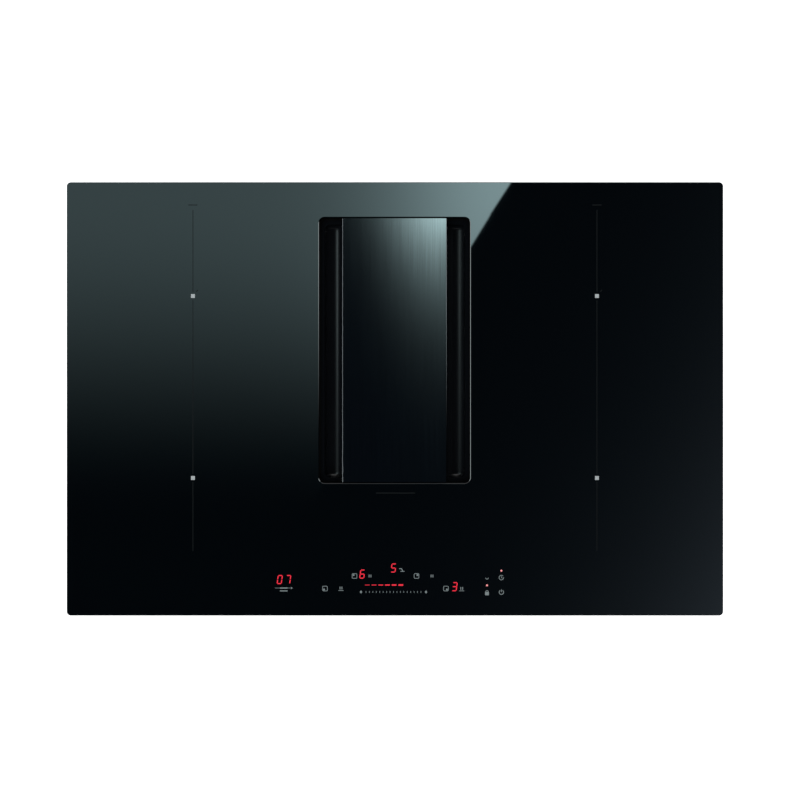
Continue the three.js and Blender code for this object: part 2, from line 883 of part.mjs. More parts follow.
// The scroll's outside: the volute and the flared outlet, each a wall's thickness larger.
function scrollOutside(bottom, top) {
  const [tongue] = volutePoints(0, VOLUTE_STEPS);
  const flare = Math.hypot(tongue[0] - ductLeft, scrollMouth - tongue[1]);
  const normal = [(tongue[1] - scrollMouth) / flare, (ductLeft - tongue[0]) / flare];
  const centre = [blowerX, blowerY];
  const volute = polygon([...volutePoints(scrollWall, VOLUTE_STEPS), centre]);
  const outlet = polygon([
    centre,
    [blowerX + voluteEnd + scrollWall, blowerY],
    [ductRight + scrollWall, scrollMouth],
    [ductLeft + scrollWall / normal[0], scrollMouth],
    [tongue[0] + scrollWall * normal[0], tongue[1] + scrollWall * normal[1]],
  ]);
  return join(extrude(volute, bottom, top), extrude(outlet, bottom, top));
}

function makeScroll() {
  return scrollOutside(scrollBottom, scrollTop).subtract(
    scrollInside(scrollBottom + scrollWall, scrollTop + OVERCUT),
  );
}

function makeScrollLid() {
  const top = scrollTop + lidThickness;
  const plate = scrollOutside(scrollTop, top);
  const rim = turned([
    [inletRadius, scrollTop],
    [inletRadius + scrollWall, scrollTop],
    [inletRadius + scrollWall, scrollTop + inletRim / 3],
    [inletRadius + inletRim, scrollTop + inletRim],
    [inletRadius + inletRim - 1, scrollTop + inletRim + scrollWall],
    [inletRadius, scrollTop + inletRim / 2],
  ], blowerX, blowerY);
  const hole = cylinder(inletRadius + 0.5, scrollTop - OVERCUT, top + OVERCUT, blowerX, blowerY, 24);
  return plate.subtract(hole).add(rim);
}

const coneTop = impellerBottom + motorHeight + 8;
const hubTop = coneTop + 12;

// One forward-curved blade: a strip bent about a centre outside the wheel.
function bladeShape(angle) {
  const inner = impellerRadius - bladeChord;
  const outer = impellerRadius - 1;
  const lean = 0.12;
  const at = (radius, turn) => [radius * Math.cos(angle + turn), radius * Math.sin(angle + turn)];
  const thick = bladeThickness / impellerRadius;
  const middle = (inner + outer) / 2;
  return polygon([
    at(inner, 0),
    at(middle, lean / 4),
    at(outer, lean),
    at(outer, lean + thick),
    at(middle, lean / 4 + thick * 1.2),
    at(inner, thick * 1.3),
  ]);
}

function makeImpeller() {
  const plateTop = impellerBottom + 2;
  const ringBottom = impellerBottom + impellerHeight - 3;
  const ringTop = impellerBottom + impellerHeight;
  const clear = motorRadius + 6;
  const back = turned([
    [shaftRadius + shaftClearance, hubTop],
    [shaftRadius + shaftClearance, coneTop - 2],
    [clear - 5, coneTop - 2],
    [clear, coneTop - 7],
    [clear, impellerBottom],
    [impellerRadius, impellerBottom],
    [impellerRadius, plateTop],
    [clear + 3, plateTop],
    [clear + 3, coneTop - 6],
    [clear - 4, coneTop + 1],
    [hubRadius, coneTop + 1],
    [hubRadius, hubTop],
  ]);
  const rim = turned([
    [impellerRadius - bladeChord + 4, ringBottom],
    [impellerRadius, ringBottom],
    [impellerRadius, ringTop],
    [impellerRadius - bladeChord + 4, ringTop],
  ]);
  const blades = Array.from({ length: bladeCount }, (_, index) => (
    extrude(bladeShape(2 * Math.PI * index / bladeCount), plateTop - 1, ringBottom + 1)
  ));
  return join(back, rim, ...blades).translate([blowerX, blowerY, 0]);
}

function makeMotor() {
  const bottom = scrollBottom + scrollWall;
  const top = bottom + motorHeight;
  return turned([
    [0, bottom],
    [motorRadius, bottom],
    [motorRadius, top - 4],
    [motorRadius - 4, top],
    [shaftRadius + shaftClearance, top],
    [shaftRadius + shaftClearance, bottom + 4],
    [0, bottom + 4],
  ], blowerX, blowerY);
}

function makeShaft() {
  const bottom = scrollBottom + scrollWall + 4 + shaftClearance;
  return cylinder(shaftRadius, bottom, hubTop + nutThickness + 3, blowerX, blowerY, 16);
}

function makeImpellerNut() {
  const top = hubTop + nutThickness;
  const bore = cylinder(shaftRadius + shaftClearance, hubTop - OVERCUT, top + OVERCUT, blowerX, blowerY, 16);
  return cylinder(nutRadius, hubTop, top, blowerX, blowerY, 6).subtract(bore);
}

// ---------------------------------------------------------------- induction zones

// A flat strip wound outwards as a spiral whose radius grows evenly with the angle.
function makeCoil() {
  const stepsPerTurn = 14;
  const steps = coilTurns * stepsPerTurn;
  const pitch = (coilRadius - coilBore) / coilTurns;
  const half = (pitch - coilGap) / 2;
  const at = (index, offset) => {
    const angle = 2 * Math.PI * index / stepsPerTurn;
    const radius = coilBore + half + (coilRadius - coilBore - pitch + coilGap) * index / steps + offset;
    return [radius * Math.cos(angle), radius * Math.sin(angle)];
  };
  const indices = Array.from({ length: steps + 1 }, (_, index) => index);
  const outer = indices.map((index) => at(index, half));
  const inner = indices.map((index) => at(index, -half)).reverse();
  return extrude(polygon([...outer, ...inner]), 0, coilHeight);
}

function plateOutline(side, margin) {
  const width = 2 * (coilRadius + margin);
  const front = frontZoneY - coilRadius - margin;
  const rear = rearZoneY + coilRadius + margin;
  return rectangle(width, rear - front, 6, side * zoneX, (front + rear) / 2);
}

function makeCoilPlate(side) {
  const x = side * zoneX;
  const half = coilRadius + coilPlateMargin;
  const plate = extrude(plateOutline(side, coilPlateMargin), coilPlateBottom, coilPlateTop);
  const bars = [rearZoneY, frontZoneY].flatMap((zoneY) => (
    Array.from({ length: ferriteCount }, (_, index) => {
      const bar = new THREE.BoxGeometry(coilRadius - coilBore - 8, ferriteWidth, ferriteHeight + coilPlateThickness);
      bar.translate((coilRadius + coilBore) / 2, 0, (coilPlateBottom + coilBottom) / 2);
      bar.rotateZ(2 * Math.PI * (index + 0.5) / ferriteCount);
      return solid(bar.translate(x, zoneY, 0));
    })
  ));
  const legs = [-1, 1].flatMap((sideX) => [frontZoneY - half + 6, rearZoneY + half - 6].map((legY) => {
    const legX = x + sideX * (half - 6);
    const reach = coilPlateLeg / 2;
    return box(legX - reach, legX + reach, legY - reach, legY + reach, panFloor, coilPlateBottom + 1);
  }));
  const bores = [rearZoneY, frontZoneY].map((zoneY) => (
    cylinder(coilPlateBore, coilPlateBottom - OVERCUT, coilPlateTop + OVERCUT, x, zoneY)
  ));
  return cut(join(plate, ...bars, ...legs), ...bores);
}

function makeMica(side) {
  return extrude(plateOutline(side, 1), coilTop, coilTop + micaThickness);
}

// ---------------------------------------------------------------- electronics

function makePowerBoard(side) {
  const x = side * boardX;
  const bottom = panFloor + boardLift;
  const top = bottom + boardThickness;
  const outward = side * boardWidth / 2;
  const board = box(
    x - boardWidth / 2,
    x + boardWidth / 2,
    boardY - boardDepth / 2,
    boardY + boardDepth / 2,
    bottom,
    top,
  );
  const seat = top - boardThickness / 2;
  const outerColumn = x + outward * 0.65;
  const innerColumn = x - outward * 0.68;
  const capacitors = spread(3, boardDepth * 0.4).map((offset) => (
    cylinder(capacitorRadius, seat, top + capacitorHeight, outerColumn, boardY - boardDepth * 0.17 + offset, 12)
  ));
  const chokes = spread(2, boardDepth * 0.34).map((offset) => (
    cylinder(chokeRadius, seat, top + chokeHeight, outerColumn, boardY + boardDepth * 0.24 + offset, 12)
  ));
  const relays = spread(4, boardDepth * 0.64).map((offset) => {
    const y = boardY + offset;
    return box(
      innerColumn - relayWidth / 2,
      innerColumn + relayWidth / 2,
      y - relayDepth / 2,
      y + relayDepth / 2,
      seat,
      top + relayHeight,
    );
  });
  return join(board, ...capacitors, ...chokes, ...relays);
}

function makeHeatSink(side) {
  const x = side * boardX;
  const bottom = panFloor + boardLift + boardThickness;
  const fins = spread(sinkFins, sinkWidth).map((offset) => (
    box(
      x + offset - sinkFinWidth / 2,
      x + offset + sinkFinWidth / 2,
      boardY - sinkDepth / 2,
      boardY + sinkDepth / 2,
      bottom + sinkBase - 1,
      bottom + sinkHeight,
    )
  ));
  const base = box(
    x - sinkWidth / 2,
    x + sinkWidth / 2,
    boardY - sinkDepth / 2,
    boardY + sinkDepth / 2,
    bottom,
    bottom + sinkBase,
  );
  return join(base, ...fins);
}

const coolerBore = coolerSize / 2 - coolerWall;

function makeCoolerFrame() {
  const body = extrude(rectangle(coolerSize, coolerSize, 5), 0, coolerHeight);
  const bore = cylinder(coolerBore, -OVERCUT, coolerHeight + OVERCUT, 0, 0, 20);
  const hub = cylinder(coolerHub, 0, coolerBaseThickness, 0, 0, 12);
  const struts = [0, 1].map((turn) => {
    const strut = new THREE.BoxGeometry(2 * coolerBore + 1, 5, coolerBaseThickness);
    return solid(strut.translate(0, 0, coolerBaseThickness / 2).rotateZ(turn * QUARTER + QUARTER / 2));
  });
  const pinBore = cylinder(coolerPin + 0.4, 1, coolerHeight, 0, 0, 8);
  return cut(join(cut(body, bore), hub, ...struts), pinBore);
}

function makeCoolerRotor() {
  const bottom = coolerBaseThickness + 0.5;
  const top = coolerHeight - 2;
  const hub = cylinder(coolerHub, bottom, top, 0, 0, 16);
  const pin = cylinder(coolerPin, 1.4, bottom + 1, 0, 0, 8);
  const reach = coolerBore - coolerGap;
  const blades = Array.from({ length: coolerBlades }, (_, index) => {
    const blade = new THREE.BoxGeometry(reach - coolerHub + 3, 1.6, 19);
    blade.rotateX(-0.7);
    blade.translate((reach + coolerHub - 3) / 2, 0, (bottom + top) / 2);
    return solid(blade.rotateZ(2 * Math.PI * index / coolerBlades));
  });
  const sweep = cylinder(reach, bottom, top, 0, 0, 24);
  return join(hub, pin, join(...blades).intersect(sweep));
}

// ---------------------------------------------------------------- touch control

function makeLightGuide() {
  const width = touchWidth - 2 * carrierWall - 1;
  const depth = touchDepth - 2 * carrierWall - 1;
  const body = box(touchX - width / 2, touchX + width / 2, touchY - depth / 2, touchY + depth / 2,
    guideBottom, glassBottom);
  const cells = spread(8, width).map((offset) => (
    box(
      touchX + offset - width / 16 + guideWall,
      touchX + offset + width / 16 - guideWall,
      touchY - depth / 2 + guideWall,
      touchY + depth / 2 - guideWall,
      guideBottom - OVERCUT,
      glassBottom - 1,
    )
  ));
  return cut(body, ...cells);
}

function makeTouchBoard() {
  const width = touchWidth - 2 * carrierWall - 1;
  const depth = touchDepth - 2 * carrierWall - 1;
  return box(touchX - width / 2, touchX + width / 2, touchY - depth / 2, touchY + depth / 2,
    touchBoardBottom, touchBoardTop);
}

function makeTouchCarrier() {
  const halfWidth = touchWidth / 2;
  const halfDepth = touchDepth / 2;
  const trough = box(touchX - halfWidth, touchX + halfWidth, touchY - halfDepth, touchY + halfDepth,
    carrierBottom, glassBottom - 2);
  const inside = box(
    touchX - halfWidth + carrierWall,
    touchX + halfWidth - carrierWall,
    touchY - halfDepth + carrierWall,
    touchY + halfDepth - carrierWall,
    touchBoardBottom,
    glassBottom,
  );
  const legs = [-0.8, 0.8].flatMap((share) => [-1, 1].map((sideY) => {
    const x = touchX + share * halfWidth;
    const y = touchY + sideY * (halfDepth - 6);
    return box(x - 4, x + 4, y - 4, y + 4, panFloor, carrierBottom + 1);
  }));
  return join(cut(trough, inside), ...legs);
}

// ---------------------------------------------------------------- mains terminal box

const barrelY = terminalRear - terminalDepth - hingeBarrel - hingeClearance;
const barrelZ = terminalBottom - terminalLidThickness / 2;
const barrelHalf = terminalWidth / 2 - 8;

function alongX(radius, x0, x1, y, z, sides) {
  const geometry = new THREE.CylinderGeometry(radius, radius, x1 - x0, sides);
  return solid(geometry.rotateZ(QUARTER).translate((x0 + x1) / 2, y, z));
}

function makeTerminalBox() {
  const left = terminalX - terminalWidth / 2;
  const right = terminalX + terminalWidth / 2;
  const front = terminalRear - terminalDepth;
  const body = box(left, right, front, terminalRear, terminalBottom, terminalTop);
  const hollow = box(
    left + terminalWall,
    right - terminalWall,
    front + terminalWall,
    terminalRear - terminalWall,
    terminalBottom - OVERCUT,
    terminalTop - terminalWall,
  );
  const ears = [-1, 1].map((side) => {
    const near = terminalX + side * (barrelHalf + hingeClearance);
    const far = near + side * hingeEar;
    const ear = box(
      Math.min(near, far),
      Math.max(near, far),
      barrelY - hingeBarrel,
      front + 1,
      barrelZ - hingeBarrel,
      terminalBottom + 8,
    );
    const pinHole = alongX(hingePin + hingeClearance, Math.min(near, far) - 1, Math.max(near, far) + 1,
      barrelY, barrelZ, 12);
    return ear.subtract(pinHole);
  });
  const lidRelief = box(left - 1, right + 1, front, terminalRear + 1, 0, terminalBottom);
  const cable = new THREE.CylinderGeometry(cableRadius, cableRadius, 6 * terminalWall, 16);
  cable.translate(terminalX, terminalRear, terminalBottom + terminalHeight / 2);
  const wire = cylinder(cableRadius, terminalTop - 2 * terminalWall, terminalTop + OVERCUT, terminalX, terminalY, 16);
  return cut(join(cut(body, hollow), ...ears.map((ear) => ear.subtract(lidRelief))), solid(cable), wire);
}

function makeTerminalLid() {
  const front = terminalRear - terminalDepth;
  const left = terminalX - terminalWidth / 2;
  const right = terminalX + terminalWidth / 2;
  const plate = box(left, right, front, terminalRear, terminalBottom - terminalLidThickness, terminalBottom);
  const web = box(
    terminalX - barrelHalf,
    terminalX + barrelHalf,
    barrelY,
    front + 1,
    terminalBottom - terminalLidThickness,
    terminalBottom - terminalLidThickness / 3,
  );
  const pinReach = barrelHalf + hingeClearance + hingeEar - hingeClearance;
  const notches = [-1, 1].map((side) => {
    const near = terminalX + side * barrelHalf;
    const far = near + side * (hingeEar + 2 * hingeClearance);
    return box(
      Math.min(near, far),
      Math.max(near, far),
      front - OVERCUT,
      front + terminalWall,
      terminalBottom - 2 * terminalLidThickness,
      terminalBottom + OVERCUT,
    );
  });
  return join(
    cut(plate, ...notches),
    web,
    alongX(hingeBarrel, terminalX - barrelHalf, terminalX + barrelHalf, barrelY, barrelZ, 12),
    alongX(hingePin, terminalX - pinReach, terminalX + pinReach, barrelY, barrelZ, 12),
  );
}

function makeTerminalBlock() {
  const top = terminalTop - terminalWall;
  const bottom = top - blockHeight;
  const front = terminalRear - terminalDepth + terminalWall + blockToWall;
  const body = box(terminalX - blockLength / 2, terminalX + blockLength / 2, front, front + blockDepth, bottom, top);
  const grooves = spread(6, blockLength).map((offset) => (
    cylinder(3.2, bottom - OVERCUT, bottom + blockHeight / 2, terminalX + offset, front + blockDepth / 2, 10)
  ));
  return cut(body, ...grooves);
}

// A saddle that presses the mains lead against the box's roof, just inside the cable inlet.
function makeCableClamp() {
  const top = terminalTop - terminalWall;
  const rear = terminalRear - terminalWall - saddleGap;
  const half = cableRadius + saddleWall;
  const centre = terminalBottom + terminalHeight / 2;
  const bottom = centre - cableRadius - saddleWall / 2;
  const body = box(terminalX - half, terminalX + half, rear - saddleDepth, rear, bottom, top);
  const lead = new THREE.CylinderGeometry(cableRadius, cableRadius, 2 * saddleDepth, 16);
  lead.translate(terminalX, rear - saddleDepth / 2, centre);
  return body.subtract(solid(lead));
}

// ---------------------------------------------------------------- swivel clamps

// The arm in its own place: it turns about its origin and points along -Y at rest.
function makeClampArm() {
  const plateTop = clampBottom + clampThickness;
  const half = clampWidth / 2;
  const plate = extrude(rectangle(clampWidth, clampLength + half, half / 2, 0, -(clampLength - half) / 2 - half / 2),
    clampBottom, plateTop);
  const boss = cylinder(half - 1, clampBottom, clampTop, 0, 0, 12);
  const pad = box(-half, half, -clampLength - half / 2, -clampLength + half, clampBottom, clampTop);
  const bore = cylinder(screwRadius + screwClearance, clampBottom - 1, clampTop + 1, 0, 0, 12);
  return cut(join(plate, boss, pad.intersect(extrude(
    rectangle(clampWidth, 2 * half, half / 2, 0, -clampLength),
    clampBottom,
    clampTop,
  ))), bore);
}

function makeClampScrew() {
  const headTop = clampBottom - clampGap;
  const head = cylinder(screwHead, headTop - screwHeadHeight, headTop, 0, 0, 12);
  const recess = cylinder(screwRadius, headTop - screwHeadHeight - 1, headTop - screwHeadHeight / 2, 0, 0, 6);
  return join(head.subtract(recess), cylinder(screwRadius, headTop - 1, shelfTop + screwBoss, 0, 0, 12));
}

// ---------------------------------------------------------------- the assembly

const cooktop = new THREE.Group();

function add(name, body, look, place = [0, 0, 0], mirrored = false) {
  const mesh = new THREE.Mesh(geometryOf(body), new THREE.MeshStandardMaterial(look));
  mesh.name = name;
  mesh.position.set(...place);
  mesh.rotation.z = mirrored ? Math.PI : 0;
  cooktop.add(mesh);
}

add('glass_top', makeGlass(), blackGlass);
add('glass_bond', makeGlassBond(), softBlack);
add('glass_frame', makeGlassFrame(), galvanised);
add('worktop_seal', makeWorktopSeal(), softBlack);
add('chassis_pan', makePan(), galvanised);

add('well_gasket', makeWellGasket(), softBlack);
add('intake_well', makeWell(), blackPlastic);
add('drip_tray', makeDripTray(), blackPlastic);
add('grease_filter_frame', makeGreaseFrame(), aluminium);
add('grease_filter_mesh', makeGreaseMesh(), aluminium);
add('grease_filter_handle', makeFilterHandle(), steel);
add('cover_panel', makeCover(), brushedCover);
add('cover_support_front', makeCoverSupport(-1), blackPlastic);
add('cover_support_rear', makeCoverSupport(1), blackPlastic);
add('odour_filter_frame', makeOdourFrame(), blackPlastic);
add('odour_block_front', makeOdourBlock(-1), charcoal);
add('odour_block_rear', makeOdourBlock(1), charcoal);

add('lower_housing', makeHousing(), blackPlastic);
add('housing_gasket', makeHousingGasket(), softBlack);
add('drain_cap', makeDrainCap(), blackPlastic);
add('drain_seal', makeDrainSeal(), softBlack);
add('outlet_spigot', makeSpigot(), blackPlastic);

add('blower_scroll', makeScroll(), blackPlastic);
add('blower_lid', makeScrollLid(), blackPlastic);
add('impeller', makeImpeller(), blackPlastic);
add('blower_motor', makeMotor(), steel);
add('motor_shaft', makeShaft(), steel);
add('impeller_nut', makeImpellerNut(), zincScrew);

for (const [sideName, side] of [['left', -1], ['right', 1]]) {
  add(`induction_coil_rear_${sideName}`, makeCoil(), copper, [side * zoneX, rearZoneY, coilBottom]);
  add(`induction_coil_front_${sideName}`, makeCoil(), copper, [side * zoneX, frontZoneY, coilBottom]);
  add(`coil_plate_${sideName}`, makeCoilPlate(side), aluminium);
  add(`mica_sheet_${sideName}`, makeMica(side), mica);
  add(`power_board_${sideName}`, makePowerBoard(side), circuitGreen);
  add(`heat_sink_${sideName}`, makeHeatSink(side), aluminium);
  add(`cooling_fan_frame_${sideName}`, makeCoolerFrame(), blackPlastic, [side * zoneX, coolerY, panFloor]);
  add(`cooling_rotor_${sideName}`, makeCoolerRotor(), blackPlastic, [side * zoneX, coolerY, panFloor]);
}

add('display_light_guide', makeLightGuide(), whitePlastic);
add('touch_board', makeTouchBoard(), circuitGreen);
add('touch_carrier', makeTouchCarrier(), blackPlastic);

add('terminal_box', makeTerminalBox(), blackPlastic);
add('terminal_lid', makeTerminalLid(), blackPlastic);
add('terminal_block', makeTerminalBlock(), whitePlastic);
add('cable_clamp', makeCableClamp(), whitePlastic);

for (const [place, sideX, sideY] of clampPlaces()) {
  const at = [sideX * clampX, sideY * clampY, 0];
  add(`clamp_arm_${place}`, makeClampArm(), galvanised, at, sideY < 0);
  add(`clamp_screw_${place}`, makeClampScrew(), zincScrew, at);
}

export default cooktop;
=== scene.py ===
"""Downdraft induction cooktop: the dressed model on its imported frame, with its finishes, light and camera.

Lengths in the forms below are millimetres in the frame's own axes, X to the right, Y to the rear and Z up.
"""
import json

import bmesh
import bpy
import numpy as np
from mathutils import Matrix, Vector

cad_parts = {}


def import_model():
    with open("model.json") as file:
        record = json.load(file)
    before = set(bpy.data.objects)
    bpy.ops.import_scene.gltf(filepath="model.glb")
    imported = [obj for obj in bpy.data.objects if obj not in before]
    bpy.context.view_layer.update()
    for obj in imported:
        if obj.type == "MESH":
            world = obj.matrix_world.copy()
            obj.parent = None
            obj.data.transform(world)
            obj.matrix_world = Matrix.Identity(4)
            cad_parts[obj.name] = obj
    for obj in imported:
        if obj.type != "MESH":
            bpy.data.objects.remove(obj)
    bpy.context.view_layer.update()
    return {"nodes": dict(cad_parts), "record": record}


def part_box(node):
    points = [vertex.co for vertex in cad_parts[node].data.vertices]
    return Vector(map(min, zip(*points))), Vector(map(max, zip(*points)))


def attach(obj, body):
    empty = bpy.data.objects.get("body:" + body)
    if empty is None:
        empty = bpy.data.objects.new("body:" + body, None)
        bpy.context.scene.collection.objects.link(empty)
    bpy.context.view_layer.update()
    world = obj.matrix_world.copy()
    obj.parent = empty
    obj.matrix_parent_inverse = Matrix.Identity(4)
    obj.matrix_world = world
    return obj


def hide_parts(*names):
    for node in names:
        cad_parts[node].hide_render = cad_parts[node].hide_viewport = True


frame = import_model()

MM = 0.001
QUARTER = np.pi / 2

# Heights of the glass's faces, and the thickness of what is printed on it
GLASS_TOP = 220.0
GLASS_BOTTOM = 216.0
INK = 0.03

# Glass and its opening: width, depth and corner radius, and where the opening's middle stands
GLASS_SIZE = (780.0, 515.0)
GLASS_CORNER = 5.0
OPENING = (180.0, 316.0, 7.0)
OPENING_X = -0.5
OPENING_Y = 57.75

# Middles of the induction zones
ZONE_X = 240.0
ZONE_REAR_Y = 122.0
ZONE_FRONT_Y = -94.0


# ---------------------------------------------------------------- shader maths


class Signal:
    """One output socket of a finish. Arithmetic on it adds the Math nodes of the expression."""

    def __init__(self, finish, socket):
        self.finish = finish
        self.socket = socket

    def maths(self, operation, *terms):
        return self.finish.node("ShaderNodeMath", {"operation": operation}, terms)

    def __add__(self, other):
        return self.maths("ADD", self, other)

    def __radd__(self, other):
        return self.maths("ADD", other, self)

    def __sub__(self, other):
        return self.maths("SUBTRACT", self, other)

    def __rsub__(self, other):
        return self.maths("SUBTRACT", other, self)

    def __mul__(self, other):
        return self.maths("MULTIPLY", self, other)

    def __rmul__(self, other):
        return self.maths("MULTIPLY", other, self)

    def __truediv__(self, other):
        return self.maths("DIVIDE", self, other)

    def __pow__(self, other):
        return self.maths("POWER", self, other)

    def __abs__(self):
        return self.maths("ABSOLUTE", self)

    def exp(self):
        return self.maths("EXPONENT", self)

    def cos(self):
        return self.maths("COSINE", self)

    def sin(self):
        return self.maths("SINE", self)

    def least(self, other):
        return self.maths("MINIMUM", self, other)

    def most(self, other):
        return self.maths("MAXIMUM", self, other)

    def rise(self, low, high):
        """0 below low and 1 above high, with a smooth step between."""
        settings = {"interpolation_type": "SMOOTHSTEP", "clamp": True}
        return self.finish.node("ShaderNodeMapRange", settings, (self, low, high, 0.0, 1.0))


class Finish:
    """A material: constants on the sockets of its shader, and expressions on what varies over the surface."""

    def __init__(self, name, colour=(0.8, 0.8, 0.8), roughness=0.5, metallic=0.0, **sockets):
        self.material = bpy.data.materials.new(name)
        self.material.use_nodes = True
        self.tree = self.material.node_tree
        self.shader = self.tree.nodes["Principled BSDF"]
        self.feed("Base Color", colour)
        self.feed("Roughness", roughness)
        self.feed("Metallic", metallic)
        for socket, value in sockets.items():
            self.feed(socket.replace("_", " "), value)

    def feed(self, socket, value):
        target = self.shader.inputs[socket]
        if isinstance(value, Signal):
            self.tree.links.new(value.socket, target)
        elif socket in ("Base Color", "Emission Color"):
            target.default_value = (*value, 1.0)
        else:
            target.default_value = value
        return self

    def node(self, kind, settings=None, inputs=(), output=0):
        """A node of that type, with its settings, and with its inputs by order or by name."""
        made = self.tree.nodes.new(kind)
        for key, value in (settings or {}).items():
            setattr(made, key, value)
        pairs = inputs.items() if isinstance(inputs, dict) else enumerate(inputs)
        for key, value in pairs:
            if isinstance(value, Signal):
                self.tree.links.new(value.socket, made.inputs[key])
            else:
                made.inputs[key].default_value = value
        return Signal(self, made.outputs[output])

    def place(self, stretch=(1.0, 1.0, 1.0)):
        """Object coordinates in metres, stretched."""
        spot = self.node("ShaderNodeTexCoord", output="Object")
        return self.node("ShaderNodeMapping", {}, {"Vector": spot, "Scale": stretch})

    def axes(self):
        spot = self.node("ShaderNodeTexCoord", output="Object")
        split = self.node("ShaderNodeSeparateXYZ", {}, (spot,))
        node = split.socket.node
        return [Signal(self, node.outputs[axis]) for axis in range(3)]

    def noise(self, scale, detail=2.0, stretch=(1.0, 1.0, 1.0), rough=0.5):
        inputs = {"Vector": self.place(stretch), "Scale": scale, "Detail": detail, "Roughness": rough}
        return self.node("ShaderNodeTexNoise", {}, inputs)

    def cells(self, scale, output="Distance", **settings):
        """Voronoi cells: the distance to the nearest point, or another of the texture's outputs."""
        inputs = {"Vector": self.place(), "Scale": scale}
        return self.node("ShaderNodeTexVoronoi", {"feature": "F1", **settings}, inputs, output)

    def blend(self, factor, first, second):
        """first where factor is 0 and second where it is 1."""
        first = first if isinstance(first, Signal) else (*first, 1.0)
        second = second if isinstance(second, Signal) else (*second, 1.0)
        return self.node("ShaderNodeMix", {"data_type": "RGBA"}, {0: factor, 6: first, 7: second}, output=2)

    def bump(self, height, distance, strength=1.0):
        """Relief of `height` over `distance` metres."""
        inputs = {"Strength": strength, "Distance": distance, "Height": height}
        self.feed("Normal", self.node("ShaderNodeBump", {}, inputs))
        return self


# ---------------------------------------------------------------- forms


class Form:
    """A closed skin: points, faces as tuples of point numbers, and a mark per face that picks its finish."""

    def __init__(self, points, faces, marks):
        self.points = points
        self.faces = faces
        self.marks = marks

    def in_second(self):
        """The same form, all of it in its piece's second finish."""
        return Form(self.points, self.faces, [1] * len(self.marks))


def outward(form_points, quads, caps):
    """The sign of the enclosed volume, summed over triangles fanned from each face's first point."""
    fans = [quads[:, [0, 1, 2]], quads[:, [0, 2, 3]]]
    for cap in caps:
        cap = np.asarray(cap)
        fans.append(np.column_stack([np.full(len(cap) - 2, cap[0]), cap[1:-1], cap[2:]]))
    tri = form_points[np.vstack(fans)]
    return np.einsum("ij,ij->i", tri[:, 0], np.cross(tri[:, 1], tri[:, 2])).sum() > 0


def skin(stations, ring=False, marks=None):
    """Quads between each loop of points and the next.

    Loop i joins loop i + 1 point by point. A ring joins the last loop to the first; otherwise a flat
    face closes either end.
    """
    stations = np.asarray(stations, float)
    count, around = stations.shape[:2]
    grid = np.arange(count * around).reshape(count, around)
    low = grid if ring else grid[:-1]
    high = np.roll(grid, -1, 0) if ring else grid[1:]
    quads = np.stack([low, np.roll(low, -1, 1), np.roll(high, -1, 1), high], -1).reshape(-1, 4)
    caps = [] if ring else [grid[0][::-1], grid[-1]]
    points = stations.reshape(-1, 3)
    band = np.repeat(np.zeros(len(low), int) if marks is None else np.asarray(marks), around)
    if not outward(points, quads, caps):
        quads = quads[:, ::-1]
        caps = [cap[::-1] for cap in caps]
    faces = quads.tolist() + [cap.tolist() for cap in caps]
    return Form(points, faces, band.tolist() + [int(band[0]), int(band[-1])][: len(caps)])


def together(*forms):
    """Several skins as one: the point numbers of each are raised by the points before it."""
    points, faces, marks, start = [], [], [], 0
    for form in forms:
        points.append(form.points)
        faces += [[number + start for number in face] for face in form.faces]
        marks += form.marks
        start += len(form.points)
    return Form(np.vstack(points), faces, marks)


def unit(vectors):
    """Each row divided by its own length."""
    return vectors / np.linalg.norm(vectors, axis=1, keepdims=True)


def at_height(outline, z):
    """The points (x, y) of an outline as (x, y, z)."""
    outline = np.asarray(outline, float)
    return np.column_stack([outline, np.full(len(outline), z)])


def rounded(width, depth, corner, x=0.0, y=0.0, steps=6):
    """A loop round a rectangle: corner centre + corner (cos a, sin a), a over each quarter in turn."""
    angle = np.linspace(0, QUARTER, steps + 1)[None, :] + QUARTER * np.arange(4)[:, None]
    across = x + (width / 2 - corner) * np.array([1, -1, -1, 1])[:, None] + corner * np.cos(angle)
    along = y + (depth / 2 - corner) * np.array([1, 1, -1, -1])[:, None] + corner * np.sin(angle)
    return np.stack([across, along], -1).reshape(-1, 2)


def stack(stations, x=0.0, y=0.0, ring=False, marks=None, steps=6):
    """Rounded rectangles (width, depth, corner, height) one after the other, joined by quads."""
    loops = [at_height(rounded(w, d, max(r, 0.05), x, y, steps), z) for w, d, r, z in stations]
    return skin(loops, ring, marks)


def block(size, centre, edge, corner):
    """A box with its corners rounded and its top and bottom edges broken by `edge`."""
    width, depth, height = size
    x, y, z = centre
    low, high = z - height / 2, z + height / 2
    full = (width, depth, corner)
    inner = (width - 2 * edge, depth - 2 * edge, max(corner - edge, 0.1))
    return stack([(*inner, low), (*full, low + edge), (*full, high - edge), (*inner, high)], x, y, steps=3)


def turned(profile, sides, ring=False):
    """(radius, height) points swung round the vertical axis: (radius cos a, radius sin a, height)."""
    angle = np.arange(sides) * 2 * np.pi / sides
    profile = np.asarray(profile, float)
    radius, height = profile[:, :1], profile[:, 1:]
    return skin(np.stack([radius * np.cos(angle), radius * np.sin(angle), height + 0 * angle], -1), ring)


